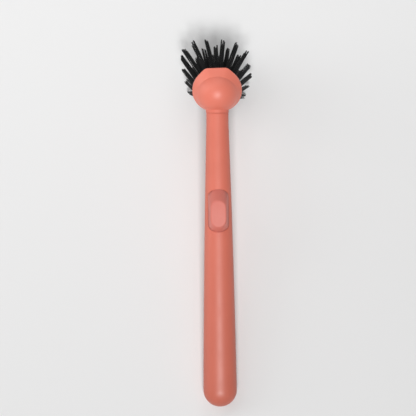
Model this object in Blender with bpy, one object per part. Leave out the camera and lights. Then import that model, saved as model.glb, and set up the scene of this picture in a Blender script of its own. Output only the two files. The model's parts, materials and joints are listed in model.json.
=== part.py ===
"""Dish brush with a ball head on a slim hollow handle, a magnet boss on its back and a head that pulls off.

The brush is modelled along its handle (+Y towards the head, +Z towards the magnet face) and then
laid on the ground as it rests: on its round butt and on the lowest tips of its bristles.
"""
import math
import random

import bmesh
import bpy
from mathutils import Matrix, Vector

# Clearances and shared allowances, in metres
FIT_GAP = 0.0003
CUT_OVERRUN = 0.004
JOIN_DEPTH = 0.0004
MERGE_DISTANCE = 0.00001
SHARP_DEGREES = 35.0

# Handle shell
HANDLE_LENGTH = 0.2227
BUTT_WIDTH = 0.0255
NECK_WIDTH = 0.0168
NECK_STRAIGHT = 0.0072
HANDLE_WALL = 0.0020
NECK_EDGE = 0.0004
FULLNESS_SHARE = 0.42
FLATTENED_SHARE = 0.22
HANDLE_SIDES = 36
SKIN_RINGS = (7, 12)
HOLLOW_RINGS = (4, 7)

# Liner in the neck, which takes the stem of the head
SLEEVE_LENGTH = 0.0190
SLEEVE_WALL = 0.0012
SLEEVE_FLOOR = 0.0020
KEY_WIDTH = 0.0014
KEY_HEIGHT = 0.0007

# Magnet boss on the back of the handle
BOSS_PLACE = 0.1495
CAP_LENGTH = 0.0324
CAP_WIDTH = 0.0157
CAP_FACE_LENGTH = 0.0196
CAP_FACE_WIDTH = 0.0128
CAP_FACE_HEIGHT = 0.0173
CAP_FACE_SHIFT = 0.0013
CAP_END_DEPTH = 0.0052
CAP_SKIRT = 0.0052
CAP_WALL = 0.0016
CAP_EDGE = 0.0006
WELL_DEPTH = 0.0035
TRAY_FLANGE = 0.0020
TRAY_LIP = 0.0008
TRAY_LIP_WALL = 0.0009
MAGNET_DIAMETER = 0.0075
MAGNET_THICKNESS = 0.0050
MAGNET_EDGE = 0.0003
YOKE_THICKNESS = 0.0012
CORNER_STEPS = 6

# Head shell: a ball that opens into a flange with a straight scraping edge
HEAD_TILT_DEGREES = 28.0
DOME_RADIUS = 0.0164
DOME_WALL = 0.0016
DOME_BEYOND_NECK = 0.0172
CREASE_HEIGHT = 0.0055
CREASE_ROUND = 0.0012
RIM_RADIUS = 0.0187
RIM_DROP = 0.0032
RIM_EDGE = 0.0007
FLARE_FOOT = 0.0004
FLARE_DEGREES = 38.0
NOSE_REACH = 0.0188
NOSE_CORNER_REACH = 0.0203
NOSE_CORNER_DEGREES = 28.0
NOSE_SIDE_DEGREES = 71.0
CREASE_FULL_DEGREES = 55.0
CREASE_END_DEGREES = 92.0
COLLAR_RADIUS = 0.0087
COLLAR_DEPTH = 0.0030
COLLAR_EDGE = 0.0005
NECK_RELIEF = 0.0007
STEM_LENGTH = 0.0150
STEM_ROOT_RADIUS = 0.0064
STEM_ROOT_DEPTH = 0.0019
STEM_TIP_EDGE = 0.0008
STEM_CORE_RADIUS = 0.0018
STEM_CORE_WALL = 0.0020
SEAL_GROOVE_PLACE = 0.0090
SEAL_GROOVE_DEPTH = 0.00145
SEAL_GROOVE_WIDTH = 0.0019
HEAD_SIDES = 48
STEM_SIDES = 24

# Block that holds the tufts
MOUTH_WALL = 0.0021
SHOULDER_WIDTH = 0.0014
SHOULDER_HEIGHT = 0.0028
BLOCK_RECESS = 0.0005
BLOCK_THICKNESS = 0.0038
BLOCK_EDGE = 0.0003
HOLE_RADIUS = 0.0015
HOLE_DEPTH = 0.0026
HOLE_SIDES = 8

# Tufts: rings of bundles that fan out from one point behind the block
TUFT_RINGS = (("inner", 6), ("middle", 12), ("outer", 18))
TUFT_MARGIN = 0.0029
RING_RADIUS_SHARES = (0.33, 0.66, 1.0)
RING_PHASE_SHARES = (0.5, 0.0, 0.5)
FAN_DEPTH = 0.0347
BRISTLE_REACH = 0.0300
CROWN_REACH = 0.0020
TIP_SCATTER = 0.0007
STRAND_CIRCLE_SHARES = ((3, 0.43, 0.25), (6, 1.0, 0.0))
STRAND_RADIUS = 0.00026
STRAND_INSET = 0.00005
STRAND_SIDES = 3
STRAND_SPREAD_SHARE = 1.55
PLUG_SIDES = 6
GROUND_CUT = 0.0005
SCATTER_SEED = 7


def clear_scene():
    """Remove every object that the file opened with."""
    for old in list(bpy.data.objects):
        bpy.data.objects.remove(old, do_unlink=True)


def plastic(name, colour, roughness, metallic=0.0):
    """A plain Principled BSDF material of one colour."""
    material = bpy.data.materials.new(name)
    material.use_nodes = True
    shader = material.node_tree.nodes["Principled BSDF"]
    shader.inputs["Base Color"].default_value = (*colour, 1.0)
    shader.inputs["Roughness"].default_value = roughness
    shader.inputs["Metallic"].default_value = metallic
    material.diffuse_color = (*colour, 1.0)
    return material


def make_object(name, bm, parent, material=None):
    """Turn a bmesh into a smooth-shaded object under a parent."""
    bmesh.ops.recalc_face_normals(bm, faces=bm.faces)
    mesh = bpy.data.meshes.new(name)
    bm.to_mesh(mesh)
    bm.free()
    mesh.shade_smooth()
    mesh.set_sharp_from_angle(angle=math.radians(SHARP_DEGREES))
    if material:
        mesh.materials.append(material)
    thing = bpy.data.objects.new(name, mesh)
    bpy.context.collection.objects.link(thing)
    thing.parent = parent
    return thing


def make_empty(name, parent=None, location=(0.0, 0.0, 0.0), tilt=0.0):
    """A frame to hang pieces on, turned about X by the tilt."""
    frame = bpy.data.objects.new(name, None)
    bpy.context.collection.objects.link(frame)
    frame.parent = parent
    frame.location = location
    frame.rotation_euler = (tilt, 0.0, 0.0)
    return frame


def combine(target, operand, operation):
    """Cut, join or trim the target with another closed object, which then stays out of the model."""
    operand.hide_render = True
    operand.display_type = "WIRE"
    step = target.modifiers.new(operand.name, "BOOLEAN")
    step.operation = operation
    step.solver = "EXACT"
    step.object = operand


def kind_of(items, kind):
    """The items of one bmesh kind."""
    return [item for item in items if isinstance(item, kind)]


def neighbour_in(vert, group):
    """The neighbour of a vertex that belongs to a group."""
    return next(edge.other_vert(vert) for edge in vert.link_edges if edge.other_vert(vert) in group)


def loft(loops_of_points):
    """Draw a closed body through a row of loops with as many points each, and close both ends."""
    bm = bmesh.new()
    ring = [bm.verts.new(point) for point in loops_of_points[0]]
    edges = [bm.edges.new((ring[i - 1], ring[i])) for i in range(len(ring))]
    bmesh.ops.contextual_create(bm, geom=edges)
    for points in loops_of_points[1:]:
        grown = bmesh.ops.extrude_edge_only(bm, edges=edges)["geom"]
        fresh = set(kind_of(grown, bmesh.types.BMVert))
        edges = [edge for edge in kind_of(grown, bmesh.types.BMEdge) if fresh.issuperset(edge.verts)]
        ring = [neighbour_in(vert, fresh) for vert in ring]
        for vert, point in zip(ring, points):
            vert.co = point
    bmesh.ops.contextual_create(bm, geom=edges)
    bmesh.ops.remove_doubles(bm, verts=bm.verts, dist=MERGE_DISTANCE)
    return bm


def turned(profile, sides, axis="Z"):
    """Revolve a profile of (radius, height) points, whose ends lie on the axis, into a closed body."""
    bm = bmesh.new()
    verts = [bm.verts.new((radius, 0.0, height)) for radius, height in profile]
    edges = [bm.edges.new(pair) for pair in zip(verts, verts[1:])]
    bmesh.ops.spin(
        bm, geom=verts + edges, axis=(0, 0, 1), cent=(0, 0, 0), steps=sides,
        angle=2 * math.pi, use_merge=True,
    )
    bmesh.ops.remove_doubles(bm, verts=bm.verts, dist=MERGE_DISTANCE)
    if axis == "Y":
        bmesh.ops.rotate(bm, verts=bm.verts, cent=(0, 0, 0), matrix=Matrix.Rotation(-math.pi / 2, 3, "X"))
    return bm


def arc(centre, radius, start, end, steps):
    """Points of a round stretch in a (radius, height) profile, from one angle to another."""
    for step in range(steps + 1):
        angle = start + (end - start) * step / steps
        yield centre[0] + radius * math.cos(angle), centre[1] + radius * math.sin(angle)


def rounded_outline(half_width, half_length, end_depth, height, centre_y):
    """Points round a bar whose two ends are half ovals of a depth along the bar, at one height."""
    points = []
    for quarter in range(4):
        side_y = 1 if quarter in (0, 1) else -1
        for step in range(CORNER_STEPS + 1):
            angle = math.pi / 2 * (quarter + step / CORNER_STEPS)
            y = side_y * (half_length - end_depth) + end_depth * math.sin(angle)
            points.append((half_width * math.cos(angle), centre_y + y, height))
    return points


def taper(y):
    """1 at the butt's widest place, falling to 0 where the neck runs straight."""
    butt_end = BUTT_WIDTH / 2
    neck_start = HANDLE_LENGTH - NECK_STRAIGHT
    return min(1.0, max(0.0, (neck_start - y) / (neck_start - butt_end)))


def handle_half_width(y):
    """Half the width of the handle's shaft, fuller than a straight taper."""
    t = taper(y)
    swell = t + FULLNESS_SHARE * t * (1.0 - t)
    return (NECK_WIDTH + (BUTT_WIDTH - NECK_WIDTH) * swell) / 2


def handle_half_height(y):
    """Half the thickness: round at the neck, flatter towards the butt."""
    t = taper(y)
    return handle_half_width(y) * (1.0 - FLATTENED_SHARE * t * (2.0 - t))


def oval(y, half_width, half_height):
    """An elliptical loop across the handle."""
    points = []
    for side in range(HANDLE_SIDES):
        angle = 2 * math.pi * side / HANDLE_SIDES
        points.append((half_width * math.cos(angle), y, half_height * math.sin(angle)))
    return points


def handle_loops(inset, neck_start, rings):
    """Loops of the handle, drawn in by the inset, round the butt and then along the shaft to the neck."""
    butt_rings, shaft_rings = rings
    round_radius = BUTT_WIDTH / 2 - inset
    butt_height = handle_half_height(BUTT_WIDTH / 2) - inset
    loops = []
    for ring in range(butt_rings):
        angle = math.pi / 2 * (ring + 0.5) / butt_rings
        y = inset + round_radius * (1.0 - math.cos(angle))
        loops.append(oval(y, round_radius * math.sin(angle), butt_height * math.sin(angle)))
    start = BUTT_WIDTH / 2
    for ring in range(shaft_rings + 1):
        y = start + (neck_start - start) * ring / shaft_rings
        loops.append(oval(y, handle_half_width(y) - inset, handle_half_height(y) - inset))
    return loops


def neck_bore():
    """Radius of the round bore in the neck."""
    return NECK_WIDTH / 2 - HANDLE_WALL


def sleeve_seat():
    """Where the neck's round bore begins, just behind the liner."""
    return HANDLE_LENGTH - SLEEVE_LENGTH - FIT_GAP


def build_handle(parent, material):
    """Hollow handle, closed at the butt and open at the neck, with a well for the magnet boss."""
    outer = handle_loops(0.0, HANDLE_LENGTH - NECK_EDGE, SKIN_RINGS)
    lip = NECK_WIDTH / 2 - NECK_EDGE
    mouth = [oval(HANDLE_LENGTH, lip, lip), oval(HANDLE_LENGTH, neck_bore(), neck_bore())]
    seat = [oval(sleeve_seat(), neck_bore(), neck_bore())]
    hollow = handle_loops(HANDLE_WALL, sleeve_seat() - HANDLE_WALL, HOLLOW_RINGS)
    shell = make_object("handle_shell", loft(outer + mouth + seat + hollow[::-1]), parent, material)
    half_width = CAP_WIDTH / 2 + FIT_GAP
    half_length = CAP_LENGTH / 2 + FIT_GAP
    levels = (-WELL_DEPTH, handle_half_height(BOSS_PLACE) + CUT_OVERRUN)
    depth = CAP_END_DEPTH + FIT_GAP
    well = loft([rounded_outline(half_width, half_length, depth, z, BOSS_PLACE) for z in levels])
    combine(shell, make_object("boss_well", well, parent), "DIFFERENCE")
    return shell


def build_sleeve(parent, material):
    """Blind liner that closes the hollow neck and guides the stem, with a key that stops it turning."""
    outer = neck_bore() - FIT_GAP
    inner = outer - SLEEVE_WALL
    end = HANDLE_LENGTH - FIT_GAP
    start = HANDLE_LENGTH - SLEEVE_LENGTH
    profile = [(0.0, start), (outer, start), (outer, end), (inner, end)]
    profile += [(inner, start + SLEEVE_FLOOR), (0.0, start + SLEEVE_FLOOR)]
    sleeve = make_object("neck_sleeve", turned(profile, STEM_SIDES, "Y"), parent, material)
    low = inner - KEY_HEIGHT
    high = inner + SLEEVE_WALL / 2
    key = key_bar(KEY_WIDTH, low, high, start + SLEEVE_FLOOR / 2, end - FIT_GAP)
    combine(sleeve, make_object("sleeve_key", key, parent), "UNION")
    return sleeve


def key_bar(width, low, high, start, end):
    """A bar along the handle's axis, between two heights above it."""
    corners = ((-width / 2, low), (width / 2, low), (width / 2, high), (-width / 2, high))
    return loft([[(x, y, z) for x, z in corners] for y in (start, end)])


def face_place():
    """Distance of the middle of the boss's face from the butt, a little behind the middle of the boss."""
    return BOSS_PLACE - CAP_FACE_SHIFT


def cap_loops(inset, top_inset):
    """Loops of the boss from its skirt to its face, drawn in by an inset at the sides and at the face."""
    crown = handle_half_height(BOSS_PLACE)
    face = CAP_FACE_HEIGHT - top_inset
    skirt_width, face_width = CAP_WIDTH / 2, CAP_FACE_WIDTH / 2
    skirt_length, face_length = CAP_LENGTH / 2, CAP_FACE_LENGTH / 2
    loops = []
    for z in (CAP_SKIRT, crown, (crown + face) / 2, face - CAP_EDGE):
        side_share = max(0.0, (z - CAP_SKIRT) / (CAP_FACE_HEIGHT - CAP_SKIRT))
        end_share = max(0.0, (z - crown) / (CAP_FACE_HEIGHT - crown))
        half_width = skirt_width + (face_width - skirt_width) * side_share - inset
        half_length = skirt_length + (face_length - skirt_length) * end_share - inset
        centre = BOSS_PLACE - CAP_FACE_SHIFT * end_share
        loops.append(rounded_outline(half_width, half_length, CAP_END_DEPTH - inset, z, centre))
    last_width, last_length = face_width - inset - CAP_EDGE, face_length - inset - CAP_EDGE
    last_depth = CAP_END_DEPTH - inset - CAP_EDGE
    loops.append(rounded_outline(last_width, last_length, last_depth, face, face_place()))
    return loops


def cap_foot():
    """Height of the lower edge of the cap, just above the tray's flange."""
    return tray_flange_top() + FIT_GAP


def tray_flange_top():
    """Height of the top of the tray's flange above the handle's axis."""
    return -WELL_DEPTH + FIT_GAP + TRAY_FLANGE


def build_cap(parent, material):
    """Raised stadium cap over the magnets, hollow and open below."""
    skirt = rounded_outline(CAP_WIDTH / 2, CAP_LENGTH / 2, CAP_END_DEPTH, cap_foot(), BOSS_PLACE)
    inside_width = CAP_WIDTH / 2 - CAP_WALL
    inside_length = CAP_LENGTH / 2 - CAP_WALL
    inside_depth = CAP_END_DEPTH - CAP_WALL
    inside = rounded_outline(inside_width, inside_length, inside_depth, cap_foot(), BOSS_PLACE)
    hollow = [inside] + cap_loops(CAP_WALL, CAP_WALL)
    outside = [skirt] + cap_loops(0.0, 0.0)
    return make_object("magnet_cap", loft(outside[::-1] + hollow), parent, material)


def magnet_top():
    """Height of the magnets' upper faces, just under the cap's ceiling."""
    return CAP_FACE_HEIGHT - CAP_WALL - FIT_GAP


def yoke_top():
    """Height of the steel plate's upper face, just under the magnets."""
    return magnet_top() - MAGNET_THICKNESS - FIT_GAP


def yoke_half_sizes():
    """Half the width and half the length of the steel plate under both magnets."""
    return MAGNET_DIAMETER / 2 + FIT_GAP, MAGNET_DIAMETER + FIT_GAP


def build_tray(parent, material):
    """Tray that stands on the well's ledges and lifts the magnets against the cap."""
    foot = -WELL_DEPTH + FIT_GAP
    floor = yoke_top() - YOKE_THICKNESS - FIT_GAP
    flange_width, flange_length = CAP_WIDTH / 2, CAP_LENGTH / 2
    plate_width, plate_length = yoke_half_sizes()
    seat_width, seat_length = plate_width + FIT_GAP, plate_length + FIT_GAP
    post_width, post_length = seat_width + TRAY_LIP_WALL, seat_length + TRAY_LIP_WALL
    flange = (flange_width, flange_length, CAP_END_DEPTH)
    post = (post_width, post_length, post_width)
    seat = (seat_width, seat_length, seat_width)
    loops = [rounded_outline(*flange, z, BOSS_PLACE) for z in (foot, tray_flange_top())]
    loops += [rounded_outline(*post, z, face_place()) for z in (tray_flange_top(), floor + TRAY_LIP)]
    loops += [rounded_outline(*seat, z, face_place()) for z in (floor + TRAY_LIP, floor)]
    return make_object("magnet_tray", loft(loops), parent, material)


def build_yoke(parent, material):
    """Steel plate that closes the magnets' field behind them."""
    width, length = yoke_half_sizes()
    levels = (yoke_top() - YOKE_THICKNESS, yoke_top())
    loops = [rounded_outline(width, length, width, z, face_place()) for z in levels]
    return make_object("magnet_yoke", loft(loops), parent, material)


def build_magnet(name, side, parent, material):
    """Disc magnet with eased edges, on the neck side or the butt side of the boss."""
    radius = MAGNET_DIAMETER / 2
    eased = radius - MAGNET_EDGE
    profile = [(0.0, 0.0), (eased, 0.0), (radius, MAGNET_EDGE)]
    profile += [(radius, MAGNET_THICKNESS - MAGNET_EDGE), (eased, MAGNET_THICKNESS), (0.0, MAGNET_THICKNESS)]
    disc = make_object(name, turned(profile, STEM_SIDES), parent, material)
    middle = face_place() + side * (radius + FIT_GAP / 2)
    disc.location = (0.0, middle, magnet_top() - MAGNET_THICKNESS)
    return disc


def dome_place():
    """Distance of the ball's centre from the butt, along the handle."""
    return HANDLE_LENGTH + FIT_GAP + DOME_BEYOND_NECK


def collar_face():
    """Where the head's collar meets the neck."""
    return HANDLE_LENGTH + FIT_GAP


def head_profile():
    """Outside of the head before its nose is shaped: ball, soft crease, flare and rim."""
    round_centre_reach = DOME_RADIUS + CREASE_ROUND
    start = math.asin((CREASE_HEIGHT + CREASE_ROUND / 2) / round_centre_reach)
    flare = math.radians(FLARE_DEGREES)
    centre = (round_centre_reach * math.cos(start), round_centre_reach * math.sin(start))
    points = list(arc((0.0, 0.0), DOME_RADIUS, math.pi / 2, start, 12))
    points[0] = (0.0, DOME_RADIUS)
    points += list(arc(centre, CREASE_ROUND, math.pi + start, math.pi + flare, 3))[1:]
    points += [(RIM_RADIUS - RIM_EDGE / 2, FLARE_FOOT + RIM_EDGE / 2)]
    points += [(RIM_RADIUS, lip_height())]
    points += list(arc((RIM_RADIUS - RIM_EDGE, -RIM_DROP + RIM_EDGE), RIM_EDGE, 0.0, -math.pi / 2, 2))
    points += [(0.0, -RIM_DROP)]
    return points


def rim_reach(angle):
    """Radius of the lip at an angle from the front: a circle, drawn out to a straight edge in front."""
    degrees = abs(math.degrees(angle))
    if degrees < NOSE_CORNER_DEGREES:
        return min(NOSE_CORNER_REACH, NOSE_REACH / math.cos(angle))
    share = max(0.0, (NOSE_SIDE_DEGREES - degrees) / (NOSE_SIDE_DEGREES - NOSE_CORNER_DEGREES))
    return RIM_RADIUS + (NOSE_CORNER_REACH - RIM_RADIUS) * share ** 2


def skirt_radius(height):
    """Radius, at a height, of the straight skirt that runs from the ball down to the rim behind the nose."""
    foot = lip_height()
    reach = math.hypot(RIM_RADIUS, foot)
    start = math.atan2(foot, RIM_RADIUS) + math.acos(DOME_RADIUS / reach)
    share = (height - foot) / (DOME_RADIUS * math.sin(start) - foot)
    if not 0.0 <= share <= 1.0:
        return 0.0
    return RIM_RADIUS + (DOME_RADIUS * math.cos(start) - RIM_RADIUS) * share


def crease_share(angle):
    """1 in front, where a crease parts ball and flange, easing to 0 behind, where the skirt is straight."""
    degrees = abs(math.degrees(angle))
    share = (CREASE_END_DEGREES - degrees) / (CREASE_END_DEGREES - CREASE_FULL_DEGREES)
    share = min(1.0, max(0.0, share))
    return share * share * (3.0 - 2.0 * share)


def lip_height():
    """Height of the outermost edge of the flange."""
    return FLARE_FOOT - RIM_EDGE / 2


def shape_head(bm):
    """Fill the crease behind the nose and draw the front of the flange out to a lip, undercut below."""
    crease_radius = math.sqrt(DOME_RADIUS ** 2 - CREASE_HEIGHT ** 2)
    for vert in bm.verts:
        angle = math.atan2(vert.co.x, vert.co.y)
        radius = math.hypot(vert.co.x, vert.co.y)
        if radius < MERGE_DISTANCE:
            continue
        filled = radius + max(0.0, skirt_radius(vert.co.z) - radius) * (1.0 - crease_share(angle))
        factor = filled / radius
        if radius > crease_radius and vert.co.z < CREASE_HEIGHT + CREASE_ROUND:
            share = min(1.0, (radius - crease_radius) / (RIM_RADIUS - RIM_EDGE - crease_radius))
            undercut = min(1.0, (vert.co.z + RIM_DROP) / (lip_height() + RIM_DROP)) ** 2
            factor *= 1.0 + share * undercut * (rim_reach(angle) / RIM_RADIUS - 1.0)
        vert.co.x *= factor
        vert.co.y *= factor


def mouth_radius():
    """Radius of the head's open mouth."""
    return RIM_RADIUS - MOUTH_WALL


def build_cavity(parent):
    """Space inside the head: mouth, shoulder for the block, and the hollow of the ball."""
    inner = DOME_RADIUS - DOME_WALL
    shoulder = -RIM_DROP + SHOULDER_HEIGHT
    chamber = mouth_radius() - SHOULDER_WIDTH
    spring = math.asin((CREASE_HEIGHT - DOME_WALL / 2) / inner)
    profile = [(0.0, -RIM_DROP - CUT_OVERRUN), (mouth_radius(), -RIM_DROP - CUT_OVERRUN)]
    profile += [(mouth_radius(), shoulder), (chamber, shoulder), (chamber, shoulder + SHOULDER_WIDTH)]
    profile += list(arc((0.0, 0.0), inner, spring, math.pi / 2, 6))
    profile[-1] = (0.0, inner)
    return make_object("head_cavity", turned(profile, HEAD_SIDES * 2 // 3), parent)


def stem_radius():
    """Radius of the stem, a running fit in the liner."""
    return neck_bore() - FIT_GAP - SLEEVE_WALL - FIT_GAP


def build_stem(parent):
    """Stem behind the head, with a groove for the seal, a slot for the key and a moulding core."""
    radius = stem_radius()
    root = collar_face() + STEM_ROOT_DEPTH
    tip = collar_face() - STEM_LENGTH
    groove = collar_face() - SEAL_GROOVE_PLACE
    floor = radius - SEAL_GROOVE_DEPTH
    profile = [(0.0, tip), (radius - STEM_TIP_EDGE, tip), (radius, tip + STEM_TIP_EDGE)]
    profile += [(radius, groove - SEAL_GROOVE_WIDTH / 2), (floor, groove - SEAL_GROOVE_WIDTH / 2)]
    profile += [(floor, groove + SEAL_GROOVE_WIDTH / 2), (radius, groove + SEAL_GROOVE_WIDTH / 2)]
    profile += [(radius, collar_face() + JOIN_DEPTH), (STEM_ROOT_RADIUS, collar_face() + JOIN_DEPTH)]
    profile += [(STEM_ROOT_RADIUS, root), (0.0, root)]
    return make_object("head_stem", turned(profile, STEM_SIDES, "Y"), parent)


def build_head(brush, head, material):
    """Ball head in one piece with its flange, scraping nose, collar and stem."""
    outside = turned(head_profile(), HEAD_SIDES)
    shape_head(outside)
    shell = make_object("head_shell", outside, head, material)
    relief = NECK_WIDTH / 2 + NECK_RELIEF
    back = collar_face() - DOME_RADIUS
    notch = [(0.0, back), (relief, back), (relief, collar_face()), (0.0, collar_face())]
    combine(shell, make_object("neck_relief", turned(notch, STEM_SIDES, "Y"), brush), "DIFFERENCE")
    front = collar_face() + COLLAR_DEPTH
    ring = [(0.0, collar_face()), (COLLAR_RADIUS - COLLAR_EDGE, collar_face())]
    ring += [(COLLAR_RADIUS, collar_face() + COLLAR_EDGE), (COLLAR_RADIUS, front), (0.0, front)]
    combine(shell, make_object("head_collar", turned(ring, HANDLE_SIDES, "Y"), brush), "UNION")
    combine(shell, build_cavity(head), "DIFFERENCE")
    combine(shell, build_stem(brush), "UNION")
    core_end = collar_face() - STEM_LENGTH + STEM_CORE_WALL
    core_mouth = collar_face() + STEM_ROOT_DEPTH + CUT_OVERRUN
    core = [(0.0, core_end), (STEM_CORE_RADIUS, core_end), (STEM_CORE_RADIUS, core_mouth), (0.0, core_mouth)]
    combine(shell, make_object("stem_core", turned(core, STEM_SIDES // 2, "Y"), brush), "DIFFERENCE")
    inner = neck_bore() - FIT_GAP - SLEEVE_WALL
    low = inner - KEY_HEIGHT - FIT_GAP
    width = KEY_WIDTH + 2 * FIT_GAP
    end = collar_face() - FIT_GAP
    slot = key_bar(width, low, inner + CUT_OVERRUN, collar_face() - STEM_LENGTH - CUT_OVERRUN, end)
    combine(shell, make_object("stem_slot", slot, brush), "DIFFERENCE")
    return shell


def build_seal(parent, material):
    """Silicone ring in the stem's groove, which holds the push fit and keeps water out."""
    floor = stem_radius() - SEAL_GROOVE_DEPTH
    thick = (SEAL_GROOVE_DEPTH - FIT_GAP) / 2
    centre = floor + FIT_GAP + thick
    bm = bmesh.new()
    section = bmesh.ops.create_circle(bm, segments=PLUG_SIDES, radius=thick)["verts"]
    bmesh.ops.rotate(bm, verts=section, cent=(0, 0, 0), matrix=Matrix.Rotation(math.pi / 2, 3, "X"))
    bmesh.ops.translate(bm, verts=section, vec=(centre, 0, 0))
    bmesh.ops.spin(
        bm, geom=section + list(bm.edges), axis=(0, 0, 1), cent=(0, 0, 0), steps=STEM_SIDES,
        angle=2 * math.pi, use_merge=True,
    )
    bmesh.ops.rotate(bm, verts=bm.verts, cent=(0, 0, 0), matrix=Matrix.Rotation(math.pi / 2, 3, "X"))
    low = neck_bore() - FIT_GAP - SLEEVE_WALL - KEY_HEIGHT - FIT_GAP
    seal = make_object("stem_seal", bm, parent, material)
    seal.location = (0.0, collar_face() - SEAL_GROOVE_PLACE, 0.0)
    notch = key_bar(KEY_WIDTH + 2 * FIT_GAP, low, low + CUT_OVERRUN, -thick * 2, thick * 2)
    cutter = make_object("seal_slot", notch, parent)
    cutter.location = seal.location
    combine(seal, cutter, "DIFFERENCE")
    return seal


def block_face():
    """Height of the block's face, where the bristles come out, in the head's frame."""
    return -RIM_DROP + BLOCK_RECESS


def fan_point():
    """Point behind the block from which every tuft fans out, in the head's frame."""
    return Vector((0.0, 0.0, block_face() + FAN_DEPTH))


def outer_ring_radius():
    """Radius of the outermost ring of tufts, a margin inside the head's mouth."""
    return mouth_radius() - TUFT_MARGIN


def tuft_places():
    """Name, foot and direction of each tuft, in the head's frame."""
    apex = fan_point()
    places = [("centre_tuft", Vector((0.0, 0.0, block_face())))]
    for (ring, count), radius_share, turn_share in zip(TUFT_RINGS, RING_RADIUS_SHARES, RING_PHASE_SHARES):
        radius = outer_ring_radius() * radius_share
        for index in range(count):
            angle = 2 * math.pi * (index + turn_share) / count
            foot = Vector((radius * math.sin(angle), radius * math.cos(angle), block_face()))
            places.append((f"{ring}_tuft_{index + 1:02d}", foot))
    return [(name, foot, (foot - apex).normalized()) for name, foot in places]


def build_block(head, material):
    """Stepped disc that seats on the head's shoulder, drilled for the tufts."""
    outer = mouth_radius() - FIT_GAP
    inner = mouth_radius() - SHOULDER_WIDTH - FIT_GAP
    step = -RIM_DROP + SHOULDER_HEIGHT - FIT_GAP
    back = block_face() + BLOCK_THICKNESS
    profile = [(0.0, block_face()), (outer - BLOCK_EDGE, block_face()), (outer, block_face() + BLOCK_EDGE)]
    profile += [(outer, step), (inner, step), (inner, back - BLOCK_EDGE), (inner - BLOCK_EDGE, back)]
    profile += [(0.0, back)]
    block = make_object("tuft_block", turned(profile, HEAD_SIDES), head, material)
    bm = bmesh.new()
    for _, foot, direction in tuft_places():
        length = HOLE_DEPTH + BLOCK_EDGE + HOLE_RADIUS
        middle = foot - direction * (HOLE_DEPTH - length / 2)
        turn = Vector((0.0, 0.0, 1.0)).rotation_difference(direction).to_matrix().to_4x4()
        bmesh.ops.create_cone(
            bm, cap_ends=True, segments=HOLE_SIDES, radius1=HOLE_RADIUS, radius2=HOLE_RADIUS,
            depth=length, matrix=Matrix.Translation(middle) @ turn,
        )
    combine(block, make_object("tuft_holes", bm, head), "DIFFERENCE")
    return block


def tuft_length(foot, direction):
    """Length of a tuft from the block's face to the trimmed crown."""
    outward = min(1.0, math.hypot(foot.x, foot.y) / outer_ring_radius())
    depth = BRISTLE_REACH + BLOCK_RECESS + CROWN_REACH * (1.0 - outward ** 2)
    return depth / -direction.z


def strand_feet():
    """Where the strands of one tuft stand on its foot, circle by circle."""
    reach = HOLE_RADIUS - FIT_GAP - STRAND_RADIUS - STRAND_INSET
    for count, radius_share, turn_share in STRAND_CIRCLE_SHARES:
        for index in range(count):
            angle = 2 * math.pi * (index + turn_share) / count
            yield Vector((math.cos(angle), math.sin(angle), 0.0)) * reach * radius_share


def strand_bundle(length, rng):
    """Straight three-sided strands that spread a little and end at uneven heights."""
    bm = bmesh.new()
    for foot in strand_feet():
        tip = foot * STRAND_SPREAD_SHARE
        tip.z = length + rng.uniform(-TIP_SCATTER, TIP_SCATTER)
        root = foot - Vector((0.0, 0.0, JOIN_DEPTH + FIT_GAP))
        twist = rng.uniform(0.0, 2 * math.pi)
        strand = bmesh.ops.create_circle(
            bm, cap_ends=True, segments=STRAND_SIDES, radius=STRAND_RADIUS)["verts"]
        bmesh.ops.rotate(bm, verts=strand, cent=(0, 0, 0), matrix=Matrix.Rotation(twist, 3, "Z"))
        bmesh.ops.translate(bm, verts=strand, vec=root)
        end = bmesh.ops.extrude_face_region(bm, geom=list(strand[0].link_faces), use_keep_orig=True)["geom"]
        bmesh.ops.translate(bm, verts=kind_of(end, bmesh.types.BMVert), vec=tip - root)
    return bm


def tuft_plug(depth):
    """Root of a tuft: a short plug that fills its hole."""
    radius = HOLE_RADIUS - FIT_GAP
    profile = [(0.0, -depth), (radius, -depth), (radius, -FIT_GAP), (0.0, -FIT_GAP)]
    return turned(profile, PLUG_SIDES)


def lie_angle(handle_points, tip_points):
    """Tilt at which butt and bristle tips touch the ground together, with the tips cut flat a little."""
    def lowest(points, tilt):
        return min(point.y * math.sin(tilt) + point.z * math.cos(tilt) for point in points)

    low, high = 0.0, math.pi / 4
    for _ in range(48):
        middle = (low + high) / 2
        if lowest(tip_points, middle) + GROUND_CUT < lowest(handle_points, middle):
            low = middle
        else:
            high = middle
    return middle, lowest(handle_points, middle)


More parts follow.
